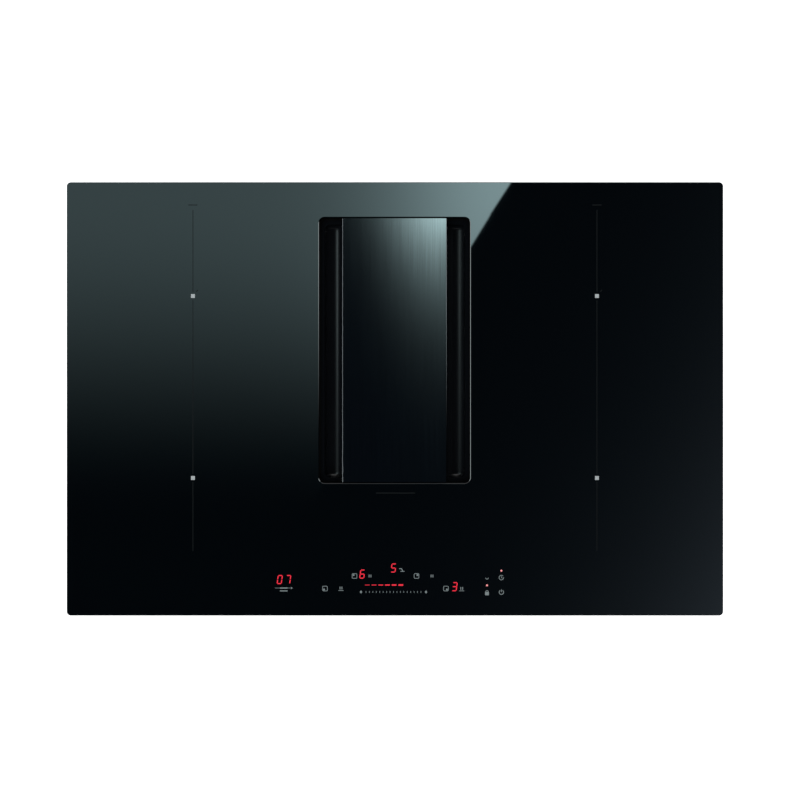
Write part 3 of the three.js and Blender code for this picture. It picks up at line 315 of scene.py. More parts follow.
def ribbon(path, width, closed=False, raised=0.0):
    """A flat strip of ink along a path on the glass.

    At each point its two edges stand half a width to either side along the mean normal of the strokes
    that meet there, lengthened so that the width holds round a bend.
    """
    path = np.asarray(path, float)
    before = np.roll(path, 1, 0) if closed else np.vstack([2 * path[0] - path[1], path[:-1]])
    after = np.roll(path, -1, 0) if closed else np.vstack([path[1:], 2 * path[-1] - path[-2]])
    cross = np.array([[0.0, 1.0], [-1.0, 0.0]])
    first, second = unit((path - before) @ cross), unit((after - path) @ cross)
    normal = unit(first + second)
    reach = width / 2 / np.maximum(np.sum(normal * second, 1, keepdims=True), 0.5)
    left, right = path + normal * reach, path - normal * reach
    low = GLASS_TOP + raised
    section = [(left, low), (right, low), (right, low + INK), (left, low + INK)]
    return skin(np.stack([at_height(edge, z) for edge, z in section], 1), closed)


def arc(x, y, radius, start, end, steps):
    """Points of a circle's arc, angles in turns."""
    angle = 2 * np.pi * np.linspace(start, end, steps + 1)
    return np.column_stack([x + radius * np.cos(angle), y + radius * np.sin(angle)])


def plate(outline, raised=0.0):
    """A flat patch of ink of that outline on the glass."""
    low = GLASS_TOP + raised
    return skin([at_height(outline, z) for z in (low, low + INK)])


def add(name, data):
    """A new object of the scene."""
    made = bpy.data.objects.new(name, data)
    bpy.context.scene.collection.objects.link(made)
    return made


def smooth_object(name, mesh, soft_edge, bevel=0.0):
    """Adds a smooth mesh whose edges stay sharp above soft_edge degrees, or are rounded there by bevel mm."""
    mesh.polygons.foreach_set("use_smooth", [True] * len(mesh.polygons))
    mesh.set_sharp_from_angle(angle=np.radians(soft_edge))
    made = add(name, mesh)
    if bevel:
        edge = made.modifiers.new("edge", "BEVEL")
        edge.width = bevel * MM
        edge.segments = 2
        edge.limit_method = "ANGLE"
        edge.angle_limit = np.radians(soft_edge)
    made.modifiers.new("even", "WEIGHTED_NORMAL").keep_sharp = True
    return made


def piece(name, form, finishes, body, stands_for=(), soft_edge=35.0):
    """Puts a form into the scene as a mesh that rides on a body."""
    mesh = bpy.data.meshes.new(name)
    mesh.from_pydata((form.points * MM).tolist(), [], form.faces)
    for finish in finishes if isinstance(finishes, list) else [finishes]:
        mesh.materials.append(finish.material)
    mesh.polygons.foreach_set("material_index", form.marks)
    made = smooth_object(name, mesh, soft_edge)
    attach(made, body)
    if stands_for:
        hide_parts(*stands_for)
    return made


# ---------------------------------------------------------------- finishes


def tinted(colour, *factors):
    """The colour times each factor in turn."""
    return [tuple(c * factor for c in colour) for factor in factors]


def glass_finish():
    """Near-black polished ceramic glass with a trace of wiping in its gloss."""
    finish = Finish("black ceramic glass", (0.0008, 0.0016, 0.0024), 0.02, IOR=1.5)
    haze = finish.noise(9.0, 3.0)
    return finish.feed("Roughness", 0.012 + haze * 0.016)


def ground_edge_finish():
    """The glass's fine-ground outer edge."""
    finish = Finish("ground glass edge", (0.006, 0.009, 0.011), 0.4, IOR=1.5)
    grit = finish.noise(2600.0, 2.0)
    finish.feed("Roughness", 0.32 + grit * 0.2)
    return finish.bump(grit, 0.00004)


def moulding_finish(name, colour, roughness, grain=1500.0, depth=0.00006):
    """Moulded plastic with a fine spark-eroded grain and slightly uneven gloss."""
    finish = Finish(name, colour, roughness)
    grit = finish.noise(grain, 2.0)
    cloud = finish.noise(14.0, 3.0)
    finish.feed("Roughness", roughness - 0.06 + cloud * 0.08 + grit * 0.05)
    finish.feed("Base Color", finish.blend(cloud, *tinted(colour, 0.86, 1.12)))
    return finish.bump(grit, depth)


def foam_finish(name, colour):
    """Closed-cell foam: fine pits of mixed size, each darker towards its middle as painted shade."""
    finish = Finish(name, colour, 0.9)
    pits = finish.cells(1400.0)
    # Darker towards each pit's middle: painted shade in the pits
    finish.feed("Base Color", finish.blend(pits.rise(0.0, 0.5), *tinted(colour, 0.5, 1.0)))
    return finish.bump(pits, 0.0003)


def galvanised_finish():
    """Zinc-coated sheet: patches of spangle that differ a little in tone and gloss."""
    finish = Finish("galvanised steel", (0.42, 0.43, 0.44), 0.42, 1.0)
    spangle = finish.cells(230.0, "Color")
    tone = finish.node("ShaderNodeSeparateColor", {}, (spangle,))
    cloud = finish.noise(10.0, 4.0)
    mix = tone * 0.6 + cloud * 0.4
    finish.feed("Base Color", finish.blend(mix, (0.36, 0.37, 0.38), (0.47, 0.48, 0.49)))
    finish.feed("Roughness", 0.34 + tone * 0.12 + cloud * 0.06)
    return finish.bump(finish.noise(900.0, 2.0), 0.00002)


def drawn_metal_finish(name, colour, roughness, stretch, streak=0.1, depth=0.00002):
    """Bright metal with grain drawn out along the axis of least stretch."""
    finish = Finish(name, colour, roughness, 1.0)
    grain = finish.noise(1.0, 3.0, stretch, 0.6)
    cloud = finish.noise(18.0, 3.0)
    finish.feed("Base Color", finish.blend(grain, *tinted(colour, 1 - streak, 1 + streak)))
    finish.feed("Roughness", roughness - 0.05 + grain * 0.07 + cloud * 0.05)
    return finish.bump(grain, depth)


def cover_finish():
    """Dark metal brushed along Y: fine and broad lines in tone and gloss, the fine ones in relief too."""
    finish = Finish("brushed dark metal", (0.11, 0.115, 0.12), 0.1, 1.0)
    fine = finish.noise(1.0, 3.0, (2600.0, 11.0, 2600.0), 0.6)
    broad = finish.noise(1.0, 3.0, (760.0, 9.0, 760.0), 0.55)
    line = fine * 0.5 + broad * 0.5
    dark, light = (0.088, 0.091, 0.095), (0.135, 0.14, 0.147)
    finish.feed("Base Color", finish.blend(line.rise(0.25, 0.75), dark, light))
    finish.feed("Roughness", 0.06 + line * 0.08)
    return finish.bump(fine, 0.000004)


def charcoal_finish():
    """Pressed activated charcoal: packed granules, with painted shade in the gaps between them."""
    finish = Finish("charcoal granules", (0.012, 0.012, 0.013), 0.9)
    grains = finish.cells(420.0)
    fine = finish.noise(1800.0, 3.0)
    # Granule faces, and the painted shade between granules
    face, gap_shade = (0.022, 0.022, 0.024), (0.004, 0.004, 0.004)
    finish.feed("Base Color", finish.blend(grains.rise(0.1, 0.7), face, gap_shade))
    finish.feed("Roughness", 0.75 + fine * 0.2)
    return finish.bump((1 - grains) + fine * 0.2, 0.0007)


def winding_finish():
    """Stranded copper winding: its strands show as rings 1.2 mm apart round each zone's centre, lighter along
    each strand as a painted highlight and darker between strands as painted shade.

    The rings are (1 + sin 5200 r) / 2 with r in metres, and fade out between 0.1 and 0.104 m.
    """
    finish = Finish("enamelled copper strands", (0.42, 0.16, 0.07), 0.38, 0.85)
    x, y, _ = finish.axes()
    rings = []
    for zone_y in (ZONE_REAR_Y, ZONE_FRONT_Y):
        across = abs(x) - ZONE_X * MM
        along = y - zone_y * MM
        radius = (across * across + along * along) ** 0.5
        wave = (radius * 5200.0).sin() * 0.5 + 0.5
        rings.append(wave * (1 - (radius - 0.1).rise(0.0, 0.004)))
    strands = rings[0] + rings[1]
    twist = finish.noise(900.0, 2.0)
    # The rings' painted highlight and shade, mixed with random tone from the twist
    tone = (strands * 0.6 + twist * 0.4).least(1.0)
    finish.feed("Base Color", finish.blend(tone, (0.20, 0.065, 0.028), (0.60, 0.26, 0.12)))
    finish.feed("Roughness", 0.3 + twist * 0.2)
    return finish.bump(tone, 0.0003)


def mica_finish():
    """Pressed mica sheet: pale brown flakes with a slight glitter."""
    finish = Finish("pressed mica", (0.45, 0.37, 0.25), 0.45)
    flakes = finish.cells(260.0, "Color")
    tone = finish.node("ShaderNodeSeparateColor", {}, (flakes,))
    finish.feed("Base Color", finish.blend(tone, (0.34, 0.26, 0.16), (0.58, 0.50, 0.36)))
    finish.feed("Roughness", 0.3 + tone * 0.3)
    return finish.bump(tone, 0.0001)


def circuit_finish():
    """Green solder mask with a web of tracks that stand a little proud and paler, and pads 5.08 mm apart."""
    finish = Finish("circuit board", (0.02, 0.12, 0.05), 0.38)
    web = finish.cells(130.0, feature="DISTANCE_TO_EDGE", distance="CHEBYCHEV")
    track = 1 - web.rise(0.03, 0.07)
    x, y, _ = finish.axes()
    pad_turns = 1236.0
    pads = ((x * pad_turns).cos() * (y * pad_turns).cos()).rise(0.85, 0.95)
    mask = finish.blend(track, (0.012, 0.10, 0.04), (0.03, 0.2, 0.08))
    finish.feed("Base Color", finish.blend(pads * 0.8, mask, (0.55, 0.55, 0.5)))
    return finish.bump(track, 0.00006)


def blank_finish(name, colour, roughness, metallic=0.0):
    """Plain satin stock with a trace of unevenness."""
    finish = Finish(name, colour, roughness, metallic)
    cloud = finish.noise(30.0, 4.0)
    finish.feed("Roughness", roughness - 0.04 + cloud * 0.08)
    finish.feed("Base Color", finish.blend(cloud, *tinted(colour, 0.9, 1.08)))
    return finish.bump(finish.noise(1100.0, 2.0), 0.00003)


def ink_finish(name, colour, roughness=0.6):
    """Fired ceramic ink: matt, with fine speckle."""
    finish = Finish(name, colour, roughness)
    speckle = finish.noise(3000.0, 2.0)
    finish.feed("Base Color", finish.blend(speckle, *tinted(colour, 0.8, 1.2)))
    return finish


def lit_finish(name, colour, strength):
    """A lit mark: it shines in its colour, a little unevenly."""
    finish = Finish(name, tinted(colour, 0.04)[0], 0.3)
    glow = finish.noise(500.0, 1.0)
    finish.feed("Emission Color", finish.blend(glow, *tinted(colour, 0.85, 1.0)))
    finish.feed("Emission Strength", strength)
    return finish


GLASS = glass_finish()
GROUND_EDGE = ground_edge_finish()
FOAM = foam_finish("foam seal", (0.03, 0.03, 0.032))
ZINC = galvanised_finish()
BLACK = moulding_finish("black moulding", (0.016, 0.0165, 0.0175), 0.42)
TRAY = moulding_finish("black tray", (0.0035, 0.0045, 0.006), 0.22, 1700.0, 0.000004)
# The tray's colour with its gloss nearly taken away, so that the lip renders dark where it lies in shade under
# the glass: painted shade
SHADED_TRAY_RIM = moulding_finish("matt tray rim painted shade", (0.0035, 0.0045, 0.006), 0.6, 1700.0, 0.00002)
SHADED_TRAY_RIM.feed("Specular IOR Level", 0.03)
WELL_BLACK = moulding_finish("well black", (0.004, 0.0042, 0.0046), 0.5, 1500.0)
WELL_BLACK.feed("Specular IOR Level", 0.15)
FAN_BLACK = moulding_finish("fan black", (0.012, 0.012, 0.013), 0.36, 1300.0)
CAP_GREY = moulding_finish("grey cap", (0.09, 0.095, 0.1), 0.45)
WHITE = moulding_finish("white moulding", (0.72, 0.72, 0.69), 0.45)
COVER = cover_finish()
FILTER_METAL = drawn_metal_finish("filter aluminium", (0.62, 0.63, 0.64), 0.36, (900.0, 14.0, 900.0))
MESH_METAL = drawn_metal_finish("filter mesh wire", (0.60, 0.61, 0.62), 0.3, (400.0, 400.0, 400.0))
PAD_METAL = drawn_metal_finish(
    "expanded filter pad", (0.2, 0.2, 0.205), 0.5, (700.0, 700.0, 700.0), 0.6, 0.0004
)
# The dark cross on the screw heads: painted shade where their recess would be
RECESS_SHADE = blank_finish("screw recess painted shade", (0.05, 0.05, 0.05), 0.5, 0.8)
STRAP = drawn_metal_finish("handle steel", (0.56, 0.56, 0.57), 0.26, (14.0, 1200.0, 1200.0))
SPREADER = drawn_metal_finish("rolled aluminium", (0.66, 0.67, 0.68), 0.42, (700.0, 12.0, 700.0))
MOTOR = drawn_metal_finish("motor can steel", (0.45, 0.45, 0.46), 0.3, (60.0, 60.0, 2200.0))
SCREW = drawn_metal_finish("zinc plated screw", (0.62, 0.62, 0.60), 0.28, (800.0, 800.0, 800.0))
CHARCOAL = charcoal_finish()
WINDING = winding_finish()
MICA = mica_finish()
CIRCUIT = circuit_finish()
GREY_INK = ink_finish("grey ink", (0.0055, 0.0066, 0.0072))
GREY_INK.feed("Specular IOR Level", 0.08)
PALE_INK = ink_finish("pale ink", (0.34, 0.37, 0.38), 0.5)
# The symbols are print, made to shine a little: painted light
GLOWING_SYMBOL_PRINT = lit_finish("pale symbols", (0.62, 0.74, 0.76), 0.28)
RED_LIGHT = lit_finish("red segments", (1.0, 0.03, 0.06), 1.0)
DOT_LIGHT = lit_finish("red lamp", (1.0, 0.35, 0.36), 1.1)

SLOT_FINISH = {
    "black_foam": FOAM, "galvanised_steel": ZINC, "black_moulding": BLACK, "tray_black": TRAY,
    "filter_aluminium": FILTER_METAL, "filter_mesh": MESH_METAL, "handle_steel": STRAP,
    "cover_brushed": COVER,
    "charcoal_block": CHARCOAL, "cap_grey": CAP_GREY, "fan_black": FAN_BLACK, "motor_steel": MOTOR,
    "zinc_screw": SCREW, "coil_winding": WINDING, "plate_aluminium": SPREADER, "mica": MICA,
    "circuit_board": CIRCUIT, "white_moulding": WHITE, "black_glass": GLASS,
}
NODE_SLOT = {part["node"]: part["material_slot"] for part in frame["record"]["subparts"]}
def node_finish(name):
    return SLOT_FINISH.get(NODE_SLOT.get(name), BLACK)


for name, node in frame["nodes"].items():
    for material_slot in node.material_slots:
        material_slot.material = node_finish(name).material


# ---------------------------------------------------------------- glass, its prints and lights


def glass_plate():
    """The plate as one ring.

    It has a top face, an opening whose edge is a facet above and a rounding below, an underside, and an
    outer edge rounded above and below.
    """
    width, depth = GLASS_SIZE
    hole_width, hole_depth, hole_corner = OPENING
    facet, soft, arris = 0.5, 0.5, 0.75
    turn = np.linspace(0, QUARTER, 7)

    def outer(inset, z):
        return at_height(rounded(width - 2 * inset, depth - 2 * inset, GLASS_CORNER - inset, steps=10), z)

    def inner(grow, z):
        size = (hole_width + 2 * grow, hole_depth + 2 * grow, hole_corner + grow)
        return at_height(rounded(*size, OPENING_X, OPENING_Y, 10), z)

    top_in = [inner(facet + 0.12, GLASS_TOP), inner(facet, GLASS_TOP - 0.06), inner(0.0, GLASS_TOP - facet)]
    low_in = [inner(soft * (1 - np.cos(a)), GLASS_BOTTOM + soft * (1 - np.sin(a))) for a in turn]
    low_out = [outer(arris * (1 - np.sin(a)), GLASS_BOTTOM + arris * (1 - np.cos(a))) for a in turn]
    top_out = [outer(arris * (1 - np.cos(a)), GLASS_TOP - arris * (1 - np.sin(a))) for a in turn]
    marks = [0] * (3 + len(turn)) + [1] * (2 * len(turn) - 1) + [0]
    return skin(top_in + low_in + low_out + top_out, True, marks)


piece("glass_plate", glass_plate(), [GLASS, GROUND_EDGE], "cooktop", ["glass_top"], 40.0)


def zone_prints():
    """Two long lines with a cross bar at the rear, a mark at each zone's centre and a short bar."""
    lines, marks = [], []
    half = 2.3
    for x in (-239.9, 239.9):
        for start, end in ((224.3, 127.0), (117.4, -89.1), (-98.7, -180.6)):
            lines.append(ribbon([(x, start), (x, end)], 0.75))
        lines.append(ribbon([(x - 5.4, 230.3), (x + 5.4, 230.3)], 0.9))
        for y in (122.2, -93.9):
            corners = [(x + i * half, y + j * half) for i, j in ((-1, -1), (1, -1), (1, 1), (-1, 1))]
            marks.append(plate(corners))
        lines.append(ribbon([(x + 4.0, 127.4), (x + 6.0, 129.4)], 0.9))
    lines.append(ribbon([(-22.5, -111.8), (23.8, -111.8)], 1.0))
    return together(*lines), together(*marks)


zone_lines, zone_marks = zone_prints()
piece("zone_lines", zone_lines, GREY_INK, "cooktop")
piece("zone_marks", zone_marks, PALE_INK, "cooktop")

SEGMENTS = {
    "a": ((0, 1), (1, 1)), "b": ((1, 1), (1, 0.5)), "c": ((1, 0.5), (1, 0)), "d": ((1, 0), (0, 0)),
    "e": ((0, 0), (0, 0.5)), "f": ((0, 0.5), (0, 1)), "g": ((0, 0.5), (1, 0.5)),
}
DIGITS = {"0": "abcdef", "3": "abcdg", "5": "acdfg", "6": "acdefg", "7": "abc"}


def digit(number, x, y):
    """A seven-segment digit about (x, y): each lit segment is a stroke, and the top leans to the right."""
    height, width, stroke, lean, length = 9.6, 4.9, 1.15, 0.14, 0.84
    strokes = []
    for name in DIGITS[number]:
        ends = np.array(SEGMENTS[name], float)
        middle = ends.mean(0)
        ends = middle + (ends - middle) * length
        tall = (ends[:, 1] - 0.5) * height
        across = x + (ends[:, 0] - 0.5) * width + lean * tall
        strokes.append(ribbon(np.column_stack([across, y + tall]), stroke))
    return together(*strokes)


def zone_symbol(x, y, corner_x, corner_y):
    """A rounded square outline with one quarter filled."""
    size = 5.6
    outline = ribbon(rounded(size, size, 1.1, x, y, 3), 0.65, True)
    quarter = rounded(size * 0.36, size * 0.36, 0.3, x + corner_x * size * 0.2, y + corner_y * size * 0.2, 2)
    return together(outline, plate(quarter))


def pair_symbol(x, y, underline):
    """Two short upright bars, with a line under them where it is asked for."""
    bars = [ribbon([(x + dx, y - 1.6), (x + dx, y + 1.6)], 0.95) for dx in (-1.1, 1.1)]
    if underline:
        bars.append(ribbon([(x - 3.0, y - 2.9), (x + 3.0, y - 2.9)], 0.6))
    return together(*bars)


def symbols():
    """The grey symbols of the touch control, all generic: print, given a faint glow by their finish as painted
    light.
    """
    parts = [
        zone_symbol(-83.1, -225.2, -1, -1), pair_symbol(-64.1, -224.6, True),
        zone_symbol(-48.0, -210.3, -1, 1), pair_symbol(-29.6, -210.3, False),
        zone_symbol(25.6, -210.3, 1, 1), pair_symbol(44.0, -210.3, False),
        zone_symbol(60.6, -225.2, 1, -1), pair_symbol(79.3, -225.0, True),
        # Under the left digits: an arrow with a thicker middle, and a bar
        ribbon([(-142.5, -224.6), (-122.3, -224.6)], 0.45),
        ribbon([(-136.6, -224.6), (-127.6, -224.6)], 1.3, raised=0.01),
        ribbon([(-136.6, -228.0), (-127.6, -228.0)], 1.1),
        plate([(-123.4, -226.0), (-121.4, -224.6), (-123.4, -223.2)], 0.01),
        # Right of the middle digit: a bent stroke on a foot
        ribbon([(5.0, -201.6), (7.8, -201.6), (9.6, -205.0)], 0.9),
        ribbon([(6.4, -204.8), (11.4, -204.8)], 0.7, raised=0.01),
    ]
    # Slider: ticks with a diamond at either end
    parts += [ribbon([(x, -230.3), (x, -228.2)], 0.55) for x in np.linspace(-34.4, 30.9, 17)]
    parts += [plate([(x - 1.5, -229.3), (x, -231.2), (x + 1.5, -229.3), (x, -227.4)]) for x in (-40.3, 36.9)]
    # Right-hand keys: hook, padlock, clock and a broken ring with a stroke
    parts += [
        ribbon(arc(109.3, -212.4, 1.6, 0.5, 1.0, 8), 0.7),
        plate(rounded(4.6, 4.0, 0.5, 109.3, -231.2, 2)),
        ribbon(arc(109.3, -229.2, 1.6, 0.0, 0.5, 8), 0.7),
        ribbon(arc(126.4, -212.2, 2.7, 0.12, 1.02, 18), 0.7),
        ribbon([(126.4, -210.4), (126.4, -212.3), (128.0, -212.9)], 0.6),
        ribbon(arc(126.4, -229.6, 2.6, 0.34, 1.16, 18), 0.8),
        ribbon([(126.4, -226.4), (126.4, -229.4)], 0.8),
    ]
    return together(*parts)


def red_lights():
    """The digits and the bar of dashes that thickens to the right."""
    parts = [
        digit("0", -136.8, -214.5), digit("7", -126.8, -214.5),
        digit("6", -38.8, -208.0), digit("5", -1.7, -200.8), digit("3", 70.9, -223.0),
    ]
    for start, stroke in zip(np.linspace(-35.6, 4.2, 6), np.linspace(0.6, 1.8, 6)):
        parts.append(ribbon([(start, -221.0), (start + 5.6, -221.0)], stroke))
    return together(*parts)


piece("control_symbols", symbols(), GLOWING_SYMBOL_PRINT, "cooktop")
piece("control_digits", red_lights(), RED_LIGHT, "cooktop")
lamps = [plate(arc(x, y, 1.15, 0, 0.95, 18)) for x, y in ((109.3, -221.4), (126.4, -204.0))]
piece("control_lamps", together(*lamps), DOT_LIGHT, "cooktop")


# ---------------------------------------------------------------- under the glass edge


def seal_bead():
    """Foam bead under the glass's edge: a ring whose outer side is a half round of that radius."""
    radius = 1.5
    outer = []
    for a in np.linspace(-QUARTER, QUARTER, 7):
        inset = 2 * radius * (1 - np.cos(a))
        outer.append((774 - inset, 509 - inset, 5.0, 214.5 + radius * np.sin(a)))
    inner = [(765.0, 500.0, 4.0, 216.0), (765.0, 500.0, 4.0, 213.0)]
    return stack(outer + inner, ring=True)


piece("seal_bead", seal_bead(), FOAM, "cooktop", ["worktop_seal"])


# ---------------------------------------------------------------- intake: well, tray, filter and cover


def well_liner():
    """Moulded liner: flange, upper wall, shoulder that carries the tray, lower wall and bottom ledge."""
    stations = [
        (182.0, 318.0, 6.0, 215.25), (182.0, 318.0, 6.0, 203.4), (181.2, 317.2, 5.6, 203.0),
        (175.0, 311.0, 5.0, 203.0), (174.0, 310.0, 5.0, 202.4), (174.0, 310.0, 5.0, 131.5),
        (173.0, 309.0, 4.6, 130.5), (154.6, 290.6, 4.3, 130.5), (154.0, 290.0, 4.0, 130.0),
        (154.0, 290.0, 4.0, 128.0), (177.6, 313.6, 6.3, 128.0), (179.0, 315.0, 7.0, 128.7),
        (179.0, 315.0, 7.0, 200.5), (187.0, 323.0, 8.0, 200.5), (187.0, 323.0, 8.0, 213.5),
        (200.0, 336.0, 14.0, 213.5), (200.0, 336.0, 14.0, 215.25),
    ]
    return stack(stations, 0, OPENING_Y, True, steps=8)


well = piece("well_liner", well_liner(), WELL_BLACK, "cooktop", ["intake_well"])


CHANNEL_X = 73.0


def tray_floor(x):
    """Height of the channel's floor over its lowest line at CHANNEL_X.

    Outside the line it is an arc, 211 - sqrt(20^2 - d^2), and inside it a parabola, 191 + 8 (d / 14)^2.
    """
    away = x - CHANNEL_X
    return np.where(away > 0, 211.0 - np.sqrt(20.0**2 - away**2), 191.0 + 8.0 * (away / 14.0) ** 2)


def tray_shell():
    """Tray with a channel down either side.

    From its lip, which slants outwards, a steep wall drops to the channel's floor, which rises again on the
    inner side to the curb round the filter's bay.
    """
    rim_loops = 5
    lip = [
        (178.5, 314.5, 6.25, 203.3), (178.4, 314.4, 6.25, 203.7), (171.4, 306.4, 7.0, 204.8),
        (170.6, 305.6, 7.0, 205.0), (169.8, 305.0, 7.0, 204.7), (169.0, 304.6, 7.0, 203.6),
        (167.4, 304.4, 6.5, 197.0), (167.0, 304.3, 6.2, 194.8),
    ]
    half = np.linspace(83.2, 59.4, 26)
    floor_in = [(2 * x, 304.2 - 0.08 * k, 6.0 - 0.08 * k, tray_floor(x)) for k, x in enumerate(half)]
    curb = [
        (117.6, 301.6, 4.0, 199.0), (100.8, 298.8, 2.4, 199.0), (100.0, 298.0, 2.0, 198.4),
        (100.0, 298.0, 2.0, 191.0), (92.0, 290.0, 2.0, 191.0), (92.0, 290.0, 2.0, 189.0),
    ]
    under = []
    for a in np.linspace(0, QUARTER, 7):
        back = 1 - np.sin(a)
        under.append((172.5 - 16 * back, 308.5 - 16 * back, 10.0 - 6 * back, 189.0 + 8 * (1 - np.cos(a))))
    rest = [(172.5, 308.5, 10.0, 203.0), (178.3, 314.3, 6.2, 203.0)]
    loops = lip + floor_in + curb + under + rest
    # The lip's loops take the rim finish, kept dark as painted shade
    marks = [1] * rim_loops + [0] * (len(loops) - rim_loops)
    return stack(loops, 0, OPENING_Y, True, marks, steps=8)


def channel_ends():
    """A hollow fillet at each channel's ends: an arc in Y and height, carried in X along the floor."""
    radius = 5
    angle = np.linspace(0, QUARTER, 8)
    out = np.concatenate([152.2 - radius * (1 - np.sin(angle)), [152.4, 146.9]])
    parts = []
    for side, end in ((-1, -1), (-1, 1), (1, -1), (1, 1)):
        loops = []
        for x in np.linspace(60.5, 81.6, 12):
            base = float(tray_floor(x))
            up = np.concatenate([base + radius * (1 - np.cos(angle)), [base - 1.0, base - 1.0]])
            loops.append(np.column_stack([np.full(len(out), side * x), OPENING_Y + end * out, up]))
        parts.append(skin(loops))
    return together(*parts)


tray = [
    piece("tray_shell", tray_shell(), [TRAY, SHADED_TRAY_RIM], "drip_tray", ["drip_tray"], 50.0),
    piece("tray_channel_ends", channel_ends(), TRAY, "drip_tray", soft_edge=40.0),
]


def cover_sheet():
    """Folded cover: a U section with rounded bends, carried along Y, its ends broken by a fine edge."""
    half, top, hem, sheet, bend, nick = 62.0, GLASS_TOP, 217.0, 1.5, 0.8, 0.2
    turn = np.linspace(0, QUARTER, 6)
    mirror = [-1, 1]
    right = np.column_stack([half - bend + bend * np.cos(turn), top - bend + bend * np.sin(turn)])
    foot = np.array(
        [[-half, hem + nick], [-half + nick, hem], [-half + sheet - nick, hem], [-half + sheet, hem + nick]]
    )
    inside = np.array([[-half + sheet, top - sheet - 0.3], [-half + sheet + 0.3, top - sheet]])
    section = np.vstack(
        [right, right[::-1] * mirror, foot, inside, inside[::-1] * mirror, foot[::-1] * mirror]
    )
    loops = []
    for y, shrink in ((-157.0, 0.25), (-156.75, 0.0), (156.75, 0.0), (157.0, 0.25)):
        across = section[:, 0] * (1 - shrink / half) + OPENING_X
        height = np.where(section[:, 1] > top - 1.0, section[:, 1] - shrink, section[:, 1])
        loops.append(np.column_stack([across, np.full(len(section), OPENING_Y + y), height]))
    return skin(loops)


cover = piece("cover_sheet", cover_sheet(), COVER, "cover", ["cover_panel"], 30.0)


# ---------------------------------------------------------------- grease filter's wire cloth


def wire(path, thick):
    """A wire of square section set on its corner, carried along an (n, 3) path."""
    along = unit(np.gradient(path, axis=0))
    side = unit(np.cross(along, [0.0, 0.0, 1.0]))
    up = np.cross(side, along)
    half = thick / 2
    return skin(np.stack([path + side * half, path + up * half, path - side * half, path - up * half], 1))


def wire_cloth(x0, x1, y0, y1, z):
    """Plain weave: each wire rises and falls by half its thickness.

    Its height is z + thick / 2 times the sine of its way past the wires it crosses, half a turn for each.
    """
    pitch, thick = 4.6, 0.9
    columns = max(2, round((x1 - x0) / pitch))
    rows = max(2, round((y1 - y0) / pitch))
    parts = []
    for number in range(columns):
        y = np.linspace(y0, y1, 2 * rows + 1)
        x = np.full(len(y), x0 + (number + 0.5) * (x1 - x0) / columns)
        wave = np.sin(np.pi * (y - y0) / (y1 - y0) * rows + np.pi * number)
        parts.append(wire(np.column_stack([x, y, z + wave * thick / 2]), thick))
    for number in range(rows):
        x = np.linspace(x0, x1, 2 * columns + 1)
        y = np.full(len(x), y0 + (number + 0.5) * (y1 - y0) / rows)
        wave = -np.sin(np.pi * (x - x0) / (x1 - x0) * columns + np.pi * number)
        parts.append(wire(np.column_stack([x, y, z + wave * thick / 2]), thick))
    return together(*parts)


low, high = (np.array(corner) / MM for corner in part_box("grease_filter_mesh"))
inset, sunk = 0.6, 1.1
cloths = [
    wire_cloth(low[0] + inset, high[0] - inset, low[1] + inset, high[1] - inset, z)
    for z in (low[2] + sunk, high[2] - sunk)
]
pad_size = (high[0] - low[0] - 2 * inset, high[1] - low[1] - 2 * inset, high[2] - low[2] - 4.6)
pad = block(pad_size, tuple((low + high) / 2), 0.4, 1.0).in_second()
piece(
    "filter_wire_cloth", together(*cloths, pad), [MESH_METAL, PAD_METAL], "grease_filter",
    ["grease_filter_mesh"], 60.0,
)


# ---------------------------------------------------------------- housing, screws and cable entry

WAYS = {
    "down": np.array([[1, 0, 0], [0, -1, 0], [0, 0, -1]]),
    "rear": np.array([[1, 0, 0], [0, 0, 1], [0, -1, 0]]),
}


def turned_to(form, way, place):
    """The form, made standing up at the origin, turned to face that way and moved to its place."""
    return Form(form.points @ WAYS[way].T + np.array(place, float), form.faces, form.marks)


def screw_head(radius):
    """Pan head: a low dome with a dark cross on it for its recess, which is not cut: the cross is painted
    shade.
    """
    profile = [(radius, 0.0), (radius, 0.9), (radius * 0.86, 1.6), (radius * 0.5, 2.1), (0.02, 2.25)]
    long, wide, high = radius * 1.05, 0.75, 0.6
    sizes = ((long, wide, high), (wide, long, high))
    # The cross, in the second finish: painted shade of the recess
    arms = [block(size, (0, 0, 2.0), 0.1, 0.2).in_second() for size in sizes]
    return together(turned(profile, 20), *arms)


# The housing's walls: left, right, front and rear
HOUSING = (-100.0, 321.0, -110.25, 225.75)
FLANGE_UNDER = 155.5


def housing_screws():
    """Screws up through the middle of the housing's flange."""
    left, right, front, rear = HOUSING
    spots = [(x, y) for x in np.linspace(left + 20, right - 20, 5) for y in (front - 4, rear + 4)]
    spots += [(x, y) for x in (left - 4, right + 4) for y in np.linspace(front + 50, rear - 50, 3)]
    return together(*[turned_to(screw_head(3.0), "down", (x, y, FLANGE_UNDER)) for x, y in spots])


def housing_ribs():
    """Upright stiffening ribs on the housing's walls, 1.2 mm proud."""
    left, right, front, rear = HOUSING
    width, depth, height, out = 2.2, 1.8, 138.0, 0.3
    spots = [(x, front - out) for x in np.arange(-58.0, 300.0, 59.0)]
    spots += [(x, rear + out) for x in (-58.0, -4.0, 50.0)]
    parts = [block((width, depth, height), (x, y, 80.0), 0.5, 0.6) for x, y in spots]
    for y in np.arange(-60.0, 200.0, 59.0):
        parts += [block((depth, width, height), (x, y, 80.0), 0.5, 0.6) for x in (left - out, right + out)]
    return together(*parts)


